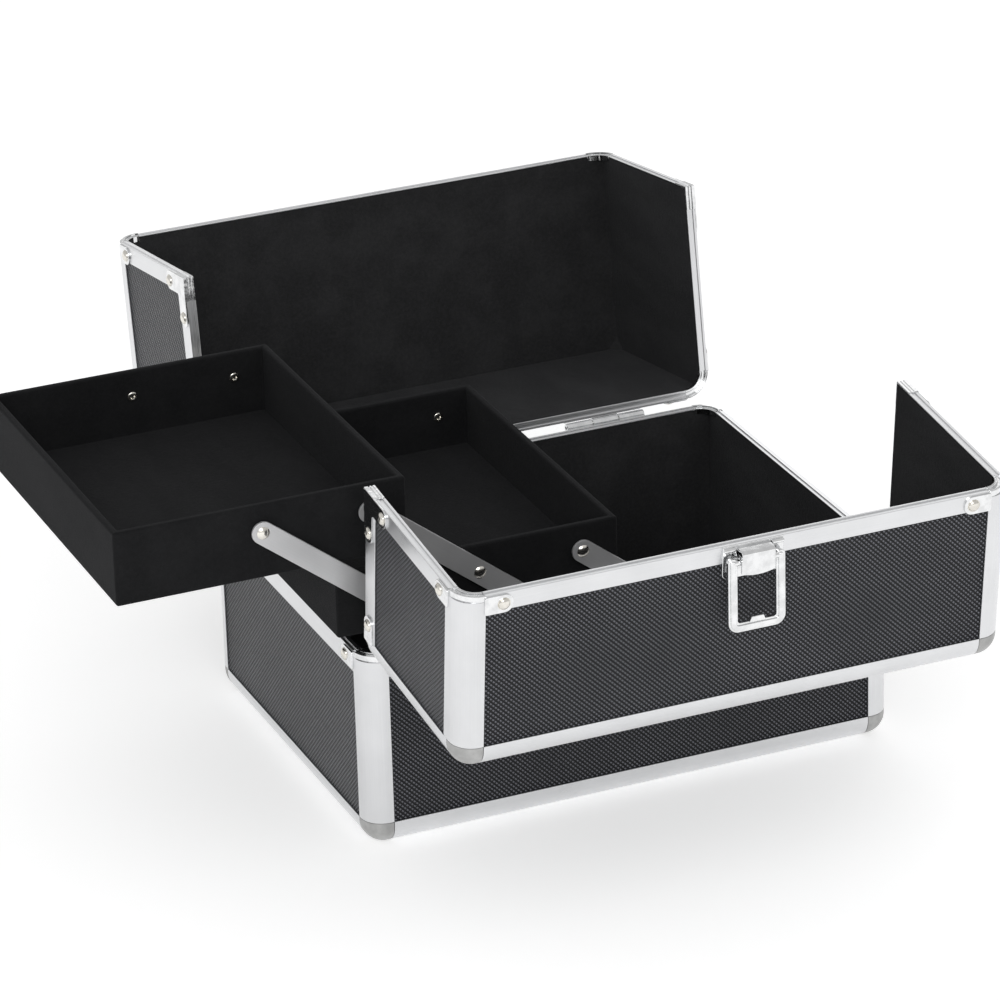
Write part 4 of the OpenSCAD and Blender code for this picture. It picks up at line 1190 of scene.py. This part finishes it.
@dataclass
class Lid:
    """A lid, built in its own frame: X along the case, Y from its wall to the seam, Z up from its rim."""

    side: LidSide
    depth: float
    opened: float
    seam_tongue: bool
    sizes: CaseSizes = SIZES
    side_leg: float = 17.5

    def place(self) -> Matrix:
        """Returns where the open lid's frame lies in the case."""
        s = self.sizes
        behind = turned(180, "Z") if self.side is LidSide.REAR else HERE
        return (behind @ moved(0.0, -s.half_d - s.hinge_out, s.base_h) @ turned(self.opened, "X")
                @ moved(0.0, s.hinge_out, s.rim_gap))

    def named(self, part: str) -> str:
        """Returns the name of one of the lid's nodes."""
        return f"{self.side.value}_{part}"

    def finish_up(self, stock: Stock, part: str, finish: Finish, node: str) -> bpy.types.Object:
        """Puts a workpiece on the lid, under the given part name and in place of the given node."""
        return Stock().add(stock, [self.place()]).finished(
            self.named(part), self.side.value, finish, [self.named(node)])

    def wall_corners(self) -> list[Matrix]:
        """Returns the rounded rim corners by the wall."""
        return twins("X", [moved(-self.sizes.half_w)])

    def seam_face(self) -> Matrix:
        """Returns the seam rim's place: X along the seam, Y down the face and Z away from the seam."""
        s = self.sizes
        return moved(-s.half_w, self.depth, s.lid_h) @ flipped("Y") @ turned(-90, "X")

    def seam_corners(self) -> list[Matrix]:
        """Returns the rounded rim corners at the seam."""
        return twins("X", [self.seam_face()])

    def square_corners(self) -> list[Matrix]:
        """Returns the square corners on the sides' outer faces."""
        return twins("X", [moved(-self.sizes.half_w, self.depth) @ turned(-90, "Y") @ flipped("Y")])

    def hinges(self) -> list[Matrix]:
        """Returns the two hinge axes, leaf up."""
        s = self.sizes
        return twins("X", [moved(-s.hinge_x, -s.hinge_out, -s.rim_gap)])

    def frame_bars(self) -> None:
        """Draws the edges and sets the ball corners."""
        s, profile = self.sizes, EdgeProfile(self.sizes)
        down = flipped("Z")
        edge = moved(-s.half_w + s.edge_leg, 0.0, s.lid_h) @ down
        side = moved(-s.half_w, s.edge_leg, s.lid_h) @ down @ SECOND_WALL
        post = moved(-s.half_w, 0.0, s.ring_h) @ UPRIGHT
        stock = Stock().add(profile.drawn(s.case_w - 2 * s.edge_leg), [edge])
        stock.add(profile.drawn(self.depth - s.edge_leg - s.ring_h, self.side_leg), twins("X", [side]))
        stock.add(profile.drawn(s.lid_h - s.edge_leg - s.ring_h), twins("X", [post]))
        self.finish_up(stock, "edges", ALUMINIUM, "edge_profiles")
        caps = Stock().add(CornerCap(s).cast(), twins("X", [moved(-s.half_w, 0.0, s.lid_h) @ down]))
        self.finish_up(caps, "ball_corners", CAP_METAL, "corner_caps")

    def rim(self) -> None:
        """Draws the rim's rails and sets its brackets and rivets."""
        s, rail, bracket = self.sizes, RimRail(self.sizes), RimBracket(self.sizes)
        leaf, corners = HingeLeaf(self.sizes), [*self.wall_corners(), *self.seam_corners()]
        wall, seam = (within(places, [SECOND_WALL]) for places in (self.wall_corners(), self.seam_corners()))
        along, low, high, tongue = s.case_w - 2 * s.edge_leg, s.seam_rim_h, s.rim_h, self.seam_tongue
        rails = Stock().add(rail.drawn(along, high, False), [moved(-s.half_w)])
        rails.add(rail.drawn(along, low, tongue), [self.seam_face()])
        rails.add(rail.drawn(self.depth, high, False, low), wall)
        rails.add(rail.drawn(s.lid_h, low, tongue, high), seam)
        self.finish_up(rails, "rails", ALUMINIUM, "rim_rails")
        brackets = Stock().add(bracket.made(False), self.wall_corners())
        brackets.add(bracket.made(tongue), self.seam_corners()).add(bracket.angle(), self.square_corners())
        self.finish_up(brackets, "brackets", CHROME, "rim_brackets")
        rivets = Stock().add(RIM_RIVET.turned(), within(corners, bracket.rivet_places()))
        rivets.add(RIM_RIVET.turned(), within(self.square_corners(), bracket.angle_rivet_places()))
        rivets.add(LEAF_RIVET.turned(), within(self.hinges(), leaf.rivet_places()))
        self.finish_up(rivets, "rivet_heads", NICKEL, "rivets")
        self.finish_up(Stock().add(leaf.pressed((1,)), self.hinges()), "hinge_plates", CHROME, "hinge_leaves")

    def lining(self) -> None:
        """Glues the felt on the wall, the top and the sides."""
        s, felt = self.sizes, FeltBoard(self.sizes)
        corner, back = moved(-s.half_w), s.board_t
        stock = Stock().add(felt.wall(s.case_w, s.lid_h, back, back), [corner])
        stock.add(felt.wall(s.case_w, self.depth, back, back), [self.seam_face()])
        stock.add(felt.lid_side(self.depth), twins("X", [corner @ SECOND_WALL]))
        stock.add(felt.gusset(), twins("X", [moved(-s.half_w, 0.0, s.lid_h) @ flipped("Z")]))
        self.finish_up(stock, "felt_lining", FELT, "lining")

    def panels(self) -> None:
        """Dresses the panels with embossing that follows the lid."""
        turn = self.place()
        planes = {"wall_panel": Plane.FRONT, "top_panel": Plane.TOP, "side_panels": Plane.SIDE}
        for part, plane in planes.items():
            name = f"panel_{self.side.value}_{plane.name.lower()}"
            dress(self.named(part), EmbossedPanel(name, plane=plane, turn=turn))

    def build(self) -> None:
        """Builds and dresses the whole lid."""
        self.frame_bars()
        self.rim()
        self.lining()
        self.panels()


# ---- Latch and its catch ----


def pressed_plate(half: float, low: float, high: float, foot: float, face: float) -> Stock:
    """Presses a plate with two rounded lower corners and rolled edges.

    Args:
        half: Half its width.
        low: Where it starts, measured down the wall.
        high: Where it ends, at the seam.
        foot: Where its back lies, out from the wall.
        face: Where its face lies.

    Returns:
        The plate.
    """
    stock = Stock().plate([(-half, low), (half, low), (half, high), (-half, high)], foot, face)
    corners = [edge for x in (-half, half) for edge in stock.edges_at(x=x, y=low)]
    return stock.rounded(corners, 3.0, 6).softened(0.35, 3)


@dataclass
class Latch:
    """The latch on the front lid: plate, curled tongue and the loop that swings in it."""

    place: Matrix
    seam_v: float = 99.5
    face_w: float = 119.0
    plate_w: float = 33.0
    plate_h: float = 18.0
    plate_t: float = 1.2
    pivot_v: float = 92.0
    pivot_w: float = 123.568
    hook_r: float = 3.2
    bead_r: float = 1.1
    bead_inset: float = 1.6
    bead_rise: float = 0.5
    tongue_w: float = 18.0
    tongue_low: float = 7.0
    tongue_rise: float = 6.5
    tongue_t: float = 1.2
    bulge: float = 1.4
    bulge_run: float = 2.0
    loop_w: float = 31.0
    loop_l: float = 37.5
    loop_bar: float = 5.0
    loop_t: float = 3.2
    loop_r: float = 5.5
    loop_inner_r: float = 1.5
    pin_r: float = 1.7
    land: float = 1.1
    pull_w: float = 9.0
    pull_l: float = 2.5
    pull_taper: float = 0.74

    def plate(self) -> Stock:
        """Presses the plate, with rolled beads at its top corners."""
        low, top = self.seam_v - self.plate_h, self.face_w + self.plate_t
        stock = pressed_plate(self.plate_w / 2, low, self.seam_v, self.face_w, top)
        start, run = self.tongue_w / 2 + 0.7, (self.plate_w - self.tongue_w) / 2 - 1.0
        v, w = self.seam_v - self.bead_inset, top + self.bead_rise
        places = [moved(x, v, w) @ turned(90, "Y") for x in (start, -start - run)]
        return stock.add(Stock().pin(self.bead_r, run, 20), places)

    def tongue(self) -> Stock:
        """Bends the tongue's face, bulges its free end and curls a strap round the loop's pin behind it."""
        half, outer, inner = self.tongue_w / 2, self.hook_r, self.hook_r - self.tongue_t
        v, w, thick = self.pivot_v, self.pivot_w, self.tongue_t
        foot, face = self.face_w + self.plate_t - 0.3, w + outer
        low, high = v - self.tongue_low, v + self.tongue_rise
        stock = Stock().bar([(low + self.bulge, face - thick), (low + self.bulge, face), (high, face),
                             (high, foot), (high - thick, foot), (high - thick, face - thick)], -half, half)
        along = [edge for edge in stock.bm.edges if abs(edge.verts[0].co.x - edge.verts[1].co.x) > half]
        bmesh.ops.subdivide_edges(stock.bm, edges=along, cuts=11, use_grid_fill=True)
        for vert in stock.bm.verts:
            if vert.co.y < low + self.bulge_run:
                vert.co.y -= self.bulge * (1.0 - (vert.co.x / half) ** 2)
        ends = [edge for x in (-half, half) for edge in stock.edges_at(x=x)
                if all(vert.co.y < low + self.bulge_run for vert in edge.verts)]
        stock.rounded(stock.edges_at(y=high, z=face), 1.6, 5).rounded(ends, 0.8, 3).softened(0.22, 2)
        outside, inside = (arc(radius, 60, -15, 11, (v, w)) for radius in (outer, inner))
        strap = [*outside, (v, foot), (v - thick, foot), (v - thick, w - inner), *reversed(inside)]
        return stock.add(Stock().bar(strap, 0.4 - half, half - 0.4).softened(0.15, 1))

    def bow(self, inset: float) -> list[Spot]:
        """Draws one line round the loop, from the end of its left bar to the end of its right bar.

        Args:
            inset: How far inside the loop's outer edge the line runs.

        Returns:
            Its points.
        """
        half, top = self.loop_w / 2 - inset, self.loop_bar / 2 - min(inset, self.loop_bar - inset)
        r = max(self.loop_r - inset, self.loop_inner_r)
        left = [(-half, top), *arc(r, 180, 9, 11, (r - half, inset - self.loop_l + r))]
        return [*left, *((-x, y) for x, y in reversed(left))]

    def loop(self) -> Stock:
        """Casts the loop, with a raised land along its bars, its pin and its pull lip."""
        bar, thick, land = self.loop_bar, self.loop_t / 2, self.land
        inner, low = self.loop_w / 2 - bar, -self.loop_l
        stock = Stock()
        for outside, inside, bottom, top, nose in ((0.0, bar, -thick, thick - 0.7, 2.3),
                                                   (land, bar - land, thick - 0.9, thick, 1.2)):
            lines, level, band = [self.bow(outside), self.bow(inside)], bar / 2 - outside, Stock()
            rows = [[band.bm.verts.new((x, min(y, level), bottom)) for x, y in line] for line in lines]
            rows[1][0].co.y = rows[1][-1].co.y = level
            quads = zip(rows[0], rows[0][1:], rows[1][1:], rows[1])
            band.pushed([band.bm.faces.new(quad) for quad in quads], (0.0, 0.0, top - bottom))
            tips = [edge for line in lines for x in (line[0][0], line[-1][0])
                    for edge in band.edges_at(x=x, y=level)]
            stock.add(band.rounded(tips, nose, 5).softened(segments=3))
        reach = inner + bar / 2
        pin = Stock().lathe([(0.0, -reach), (self.pin_r, -reach), (self.pin_r, reach), (0.0, reach)], 24)
        stock.add(pin, [turned(90, "Y")])
        side = self.pull_w / 2
        lip = Stock().block((-side, low + bar - 0.6, 0.0), (side, low + bar + self.pull_l, thick))
        for vert in lip.bm.verts:
            if vert.co.y > low + bar:
                vert.co.x *= self.pull_taper
        return stock.add(lip.softened(0.35, 3))

    def build(self) -> None:
        """Builds the latch and hangs its loop on the pivot."""
        seat = self.place @ moved(LATCH_X)
        stock = Stock().add(self.plate(), [seat]).add(self.tongue(), [seat])
        stock.finished("latch_plate_and_tongue", "front_lid", CHROME, ["latch_plate"])
        pivot = moved(*(seat @ Vector((0.0, self.pivot_v, self.pivot_w)))) @ turned(90, "X")
        Stock().add(self.loop(), [pivot]).finished(
            "latch_swing_loop", "latch_loop", CHROME, ["latch_loop"])


@dataclass
class Catch:
    """The catch on the rear lid: plate, bent nose and key cylinder."""

    place: Matrix
    seam_v: float = 120.0
    face_w: float = 119.0
    plate_w: float = 33.0
    plate_t: float = 1.2
    low_v: float = 88.0
    nose_w: float = 18.0
    nose: tuple[float, float, float] = (90.5, 96.3, 98.3)
    lip_w: float = 125.968
    lock_v: float = 105.0
    lock_r: float = 4.5
    lock_rise: float = 1.5
    slot_w: float = 1.0

    def plate(self) -> Stock:
        """Presses the plate and its nose, and sets its rivets."""
        half, top = self.plate_w / 2, self.face_w + self.plate_t
        stock = pressed_plate(half, self.low_v, self.seam_v, self.face_w, top)
        edge, near, far = self.nose
        roof = self.lip_w + self.plate_t
        nose = Stock().bar([(near, top - 0.3), (near, self.lip_w), (edge, self.lip_w), (edge, roof),
                            (far, roof), (far, top - 0.3)], -self.nose_w / 2, self.nose_w / 2)
        nose.rounded(nose.edges_at(y=far, z=roof), 1.8, 6)
        nose.rounded(nose.edges_at(y=near, z=self.lip_w), 0.6, 3).softened()
        stock.add(nose)
        section = [(-0.3, 0.0), (1.3, 0.0), (1.0, 0.6), (0.2, 0.8), (-0.3, 0.6), (-0.3, 0.0)]
        collar = Stock().lathe([(self.lock_r + out, up) for out, up in section], 40)
        stock.add(collar, [moved(0.0, self.lock_v, top - 0.05)])
        studs = [moved(x, v, top - 1.0)
                 for x in (4 - half, half - 4) for v in (self.low_v + 5, self.seam_v - 5)]
        return stock.add(Rivet(1.9, 0.7).turned(), studs)

    def cylinder(self) -> Stock:
        """Turns the key cylinder, its slot left open between two halves of the plug."""
        r, core = self.lock_r, self.lock_r - 1.2
        floor, top = 0.4, self.plate_t + self.lock_rise
        stock = Stock().lathe([(0.0, -4.0), (r, -4.0), (r, top - 0.4), (r - 0.4, top), (core + 0.1, top),
                               (core + 0.1, floor), (0.0, floor)], 40)
        plug = Stock().lathe([(0.0, floor - 0.1), (core, floor - 0.1), (core, top - 0.5),
                              (core - 0.3, top - 0.2), (0.0, top - 0.2)], 40)
        side = self.slot_w / 2
        plug.cut((side, 0.0, 0.0), (-1.0, 0.0, 0.0))
        end = Stock().block((-side - 0.1, r / 2, floor - 0.1), (side + 0.1, core - 0.2, top - 0.25))
        return stock.add(plug, [HERE, flipped("X")]).add(end, [HERE, flipped("Y")])

    def build(self) -> None:
        """Builds the catch."""
        seat = self.place @ moved(-LATCH_X)
        Stock().add(self.plate(), [seat]).finished(
            "catch_plate_and_nose", "rear_lid", CHROME, ["catch_plate"])
        lock = Stock().add(self.cylinder(), [seat @ moved(0.0, self.lock_v, self.face_w)])
        lock.finished("catch_key_cylinder", "rear_lid", NICKEL, ["catch_lock"])


# ---- Handle ----


@dataclass
class Handle:
    """The carrying handle: two brackets, a bent bail and a ribbed grip."""

    place: Matrix
    at_v: float = 66.0
    face_w: float = 118.2
    ear_h: float = 5.5
    span: float = 112.0
    drop: float = 32.0
    rod_r: float = 2.5
    bend_r: float = 4.0
    pin_r: float = 2.0
    pin_l: float = 6.0
    ear_t: float = 3.0
    ear_r: float = 4.0
    foot: Point = (20.0, 14.0, 1.5)
    grip_r: float = 7.0
    grip_l: float = 90.0
    ribs: int = 13

    def bracket(self) -> Stock:
        """Presses the left bracket: foot, ear and two rivets."""
        length, wide, thick = self.foot
        low, high = self.ear_t - length, self.ear_t
        stock = Stock().block((low, -wide / 2, 0.0), (high, wide / 2, thick))
        stock.rounded([edge for x in (low, high) for y in (-wide / 2, wide / 2)
                       for edge in stock.edges_at(x=x, y=y)], 2.5, 5).softened()
        r = self.ear_r
        outline = [(0.4, r + 1.5), (1.6, r + 0.4), *arc(r, 90, -15, 13, (self.ear_h, 0.0)), (1.6, -r - 0.4),
                   (0.4, -r - 1.5)]
        stock.add(Stock().plate(outline, 0.0, self.ear_t).softened(), [ON_EDGE])
        studs = [moved(low + 5.0 + step * 6.5, 0.0, thick - 1.0) for step in (0, 1)]
        return stock.add(Rivet(2.2, 0.9).turned(), studs)

    def bail(self) -> Stock:
        """Bends the bail from rod and turns down its two pins."""
        bend, half = self.bend_r, self.span / 2
        across = 2 * (half - self.pin_l) - 2 * bend
        down, ahead, up = (0.0, 0.0, -1.0), (1.0, 0.0, 0.0), (0.0, 0.0, 1.0)
        stock = Stock().rod((-half + self.pin_l - bend, 0.0, 0.0), self.rod_r, [
            (0.05, bend, down), (self.drop - 2 * bend, bend, ahead), (across, bend, up),
            (self.drop - 2 * bend, bend, ahead), (0.05, 0.0, ahead)])
        stock.softened(0.25, 2)
        pin = Stock().lathe([(0.0, 0.0), (self.pin_r - 0.3, 0.0), (self.pin_r, 0.3), (self.pin_r, self.pin_l),
                             (0.0, self.pin_l)], 20)
        return stock.add(pin, twins("X", [moved(-half) @ turned(90, "Y")]))

    def grip(self) -> Stock:
        """Turns the grip with its rounded ends and finger ribs."""
        half, r = self.grip_l / 2, self.grip_r
        reach = half - r - 5.0
        middles = [reach - 2 * reach * number / (self.ribs - 1) for number in range(self.ribs)]
        groove = [(r - 0.1, 1.1), (r - 0.75, 0.75), (r - 0.75, -0.75), (r - 0.1, -1.1)]
        upper = [(0.0, half - 0.6), (self.rod_r, half - 0.6), *arc(r, 68, -11, 6, (0.0, half - r))]
        return Stock().lathe([*upper, *((across, middle + up) for middle in middles for across, up in groove),
                              *((across, -up) for across, up in reversed(upper))], 40)

    def build(self) -> None:
        """Builds the handle."""
        left = moved(-self.span / 2, self.at_v, self.face_w)
        Stock().add(self.bracket(), [self.place @ place for place in twins("X", [left])]).finished(
            "handle_bracket_pair", "rear_lid", CHROME, ["handle_brackets"])
        hung = moved(*(self.place @ Vector((0.0, self.at_v, self.face_w + self.ear_h))))
        Stock().add(self.bail(), [hung]).finished("handle_bent_bail", "handle", CHROME, ["handle_bail"])
        lying = hung @ moved(0.0, 0.0, -self.drop) @ turned(90, "Y")
        Stock().add(self.grip(), [lying]).finished("handle_ribbed_grip", "handle", GRIP, ["handle_grip"])


# ---- Trays and their linkage ----


@dataclass
class PivotPin:
    """Shouldered rivet that an arm swings on: Z points out of the board that carries it."""

    root: float
    shoulder: float
    pin_r: float = 2.0
    head_r: float = 3.4
    head_h: float = 1.2
    arm_t: float = 1.5
    play: float = 0.1

    def turned(self) -> Stock:
        """Turns the pin, its washer behind the board, its shoulder and its domed head."""
        r, big, back = self.pin_r, self.head_r, -self.root
        seat = self.shoulder + self.arm_t + self.play
        ball = (big ** 2 + self.head_h ** 2) / (2 * self.head_h)
        edge = math.degrees(math.asin(big / ball))
        dome = arc(ball, 90 - edge, edge / 6, 6, (0.0, seat + self.head_h - ball))
        return Stock().lathe([
            (0.0, back - 0.1), (0.9, back - 0.2), (1.3, back - 0.8), (2.2, back - 0.8), (2.7, back - 0.5),
            (2.85, back), (r, back), (r, 0.0), (big, 0.0), (big, self.shoulder - self.play),
            (r, self.shoulder - self.play), (r, seat), *dome, (0.0, seat + self.head_h)], 28)


@dataclass
class Tray:
    """A felt-covered tray that hangs between the arms."""

    body: str
    place: Spot
    pivots: tuple[Spot, ...]
    length: float = 156.0
    height: float = 40.0
    half_d: float = 97.4
    wall: float = 4.0
    floor: float = 3.0
    pad: float = 1.5
    pad_fill: float = 0.9
    pad_gap: float = 0.2
    crown: float = 0.25
    crown_run: float = 10.0
    edge_r: float = 1.4

    def boards(self) -> Stock:
        """Hollows the tray out of a block and softens its felted edges."""
        stock = Stock().block((0.0, -self.half_d, 0.0), (self.length, self.half_d, self.height))
        top = [face for face in stock.bm.faces if all(vert.co.z > self.height - 0.1 for vert in face.verts)]
        bmesh.ops.inset_region(stock.bm, faces=top, thickness=self.wall, use_even_offset=True)
        stock.pushed(top, (0.0, 0.0, self.floor - self.height))
        return stock.softened(self.edge_r, 4)

    def cushion(self) -> Stock:
        """Lays the floor pad; its crown is the share of its thickness that only its middle has."""
        inset = self.wall + self.pad_gap
        y, z = self.half_d - inset, self.floor - 0.1
        stock = Stock().block((inset, -y, z), (self.length - inset, y, z + self.pad * (1 - self.crown)))
        stock.softened(0.5, 3)
        top = [face for face in stock.bm.faces if face.normal.z > 0.99]
        bmesh.ops.inset_region(stock.bm, faces=top, thickness=self.crown_run, use_even_offset=True)
        bmesh.ops.translate(stock.bm, vec=(0.0, 0.0, self.pad * self.crown),
                            verts=list({vert for face in top for vert in face.verts}))
        return stock

    def build(self) -> None:
        """Builds and dresses the tray."""
        x, z = self.place
        seat = moved(x, 0.0, z)
        Stock().add(self.boards(), [seat]).finished(
            f"{self.body}_felted_boards", self.body, TRAY_FELT, [f"{self.body}_boards"])
        pad = Stock().add(self.cushion(), [seat]).finished(
            f"{self.body}_floor_pad", self.body, TRAY_FELT, [f"{self.body}_pad"])
        pin = PivotPin(self.wall, 1.0).turned()
        places = [moved(px, -self.half_d, pz) @ turned(90, "X") for px, pz in self.pivots]
        Stock().add(pin, twins("Y", places)).finished(
            f"{self.body}_pins", self.body, NICKEL, [f"{self.body}_rivets"])


@dataclass
class ArmPair:
    """Two like arms, one at the front and one at the back."""

    body: str
    node: str
    first: Spot
    last: Spot
    width: float = 12.0
    thick: float = 1.5
    face_y: float = 99.9

    def blank(self) -> Stock:
        """Stamps an arm with round ends, its first pivot at the origin."""
        run, r = math.dist(self.first, self.last), self.width / 2
        outline = [*arc(r, -90, 10, 19, (run, 0.0)), *arc(r, 90, 10, 19)]
        return Stock().plate(outline, -self.thick, 0.0).softened().grained()

    def build(self) -> None:
        """Builds the pair."""
        (x, z), (far_x, far_z) = self.first, self.last
        slope = math.degrees(math.atan2(far_z - z, far_x - x))
        front = moved(x, -self.face_y, z) @ turned(-slope, "Y") @ turned(90, "X")
        for side, place in (("front", front), ("rear", flipped("Y") @ front)):
            Stock().add(self.blank(), [place]).finished(
                f"{self.body}_{side}_strip", self.body, STEEL, [f"{self.node}_{side}"])


# ---- Studio ----


@dataclass
class Studio:
    """White floor, soft lights and the camera."""

    lens: float = 193.9597
    camera_at: Point = (-1.025887, -2.399124, 1.301981)
    right: Point = (0.91813233, -0.39539419, -0.02639049)
    up: Point = (0.18486666, 0.3684635, 0.91107572)
    back: Point = (-0.35051011, -0.8413668, 0.41139346)
    sky: float = 0.66
    glow: float = 0.42
    floor_half: float = 9.0
    aim: Point = (0.0, 0.0, 0.12)
    softboxes: tuple[tuple[str, Point, Spot, float], ...] = (
        ("front_softbox", (-0.9, -3.0, 1.9), (2.0, 1.4), 34.0),
        ("key_softbox", (-2.4, -1.6, 2.2), (1.4, 1.4), 3.0),
        ("back_softbox", (1.4, 3.4, 1.8), (3.4, 1.8), 16.0))

    def floor(self) -> None:
        """Lays the floor."""
        sheet = bpy.data.meshes.new("studio_floor")
        bm = bmesh.new()
        bmesh.ops.create_grid(bm, x_segments=4, y_segments=4, size=self.floor_half)
        bm.to_mesh(sheet)
        bm.free()
        floor = bpy.data.objects.new("studio_floor", sheet)
        bpy.context.scene.collection.objects.link(floor)
        desk = Desk("studio_white")
        cloud = desk.noise(desk.place(), 0.002, 2.0)
        sheet.materials.append(desk.close({
            "Base Color": desk.mix(cloud, (0.84, 0.84, 0.84), (0.88, 0.88, 0.88)),
            "Roughness": cloud * 0.1 + 0.8, "Emission Color": (1.0, 1.0, 1.0, 1.0),
            "Emission Strength": self.glow}))

    def lamp(self, name: str, at: Point, size: Spot, power: float) -> None:
        """Hangs a soft box that faces the case.

        Args:
            name: Its name.
            at: Where it hangs, in metres.
            size: Its width and height.
            power: Its power in watts.
        """
        light = bpy.data.lights.new(name, "AREA")
        light.shape, light.size, light.size_y, light.energy = "RECTANGLE", *size, power
        lamp = bpy.data.objects.new(name, light)
        lamp.location = at
        lamp.rotation_euler = (Vector(self.aim) - Vector(at)).to_track_quat("-Z", "Y").to_euler()
        bpy.context.scene.collection.objects.link(lamp)

    def build(self) -> None:
        """Sets up the studio."""
        scene = bpy.context.scene
        self.floor()
        world = bpy.data.worlds.new("studio_sky")
        world.use_nodes = True
        background = world.node_tree.nodes["Background"]
        background.inputs["Color"].default_value = (1.0, 1.0, 1.0, 1.0)
        background.inputs["Strength"].default_value = self.sky
        scene.world = world
        for softbox in self.softboxes:
            self.lamp(*softbox)
        camera = bpy.data.cameras.new("camera")
        camera.lens, camera.sensor_width, camera.sensor_fit = self.lens, 36.0, "HORIZONTAL"
        camera.clip_start, camera.clip_end = 0.05, 60.0
        eye = bpy.data.objects.new("camera", camera)
        facing = Matrix((self.right, self.up, self.back)).transposed().to_4x4()
        eye.matrix_world = Matrix.Translation(self.camera_at) @ facing
        scene.collection.objects.link(eye)
        scene.camera = eye
        scene.view_settings.view_transform = "Standard"
        LOG.info("studio: floor, sky, three soft boxes and the camera")


def main() -> None:
    """Builds the studio and dresses the case."""
    logging.basicConfig(level=logging.INFO, format="%(message)s")
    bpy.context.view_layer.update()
    Studio().build()
    BottomBox().build()
    front, rear = Lid(LidSide.FRONT, 99.5, 96.0, False), Lid(LidSide.REAR, 120.0, 99.0, True)
    front.build()
    rear.build()
    Latch(front.place()).build()
    Catch(rear.place()).build()
    Handle(rear.place()).build()
    Tray("lower_tray", (-158.007, 117.667), (UPPER_FOOT, LONG_MIDDLE, LOWER_HEAD), height=36.5).build()
    Tray("upper_tray", (-274.214, 160.034), (UPPER_HEAD, LONG_HEAD)).build()
    ArmPair("long_arms", "long_arm", LONG_FOOT, LONG_HEAD).build()
    ArmPair("lower_arms", "lower_arm", LOWER_FOOT, LOWER_HEAD).build()
    ArmPair("upper_arms", "upper_arm", UPPER_FOOT, UPPER_HEAD).build()


if __name__ == "__main__":
    main()
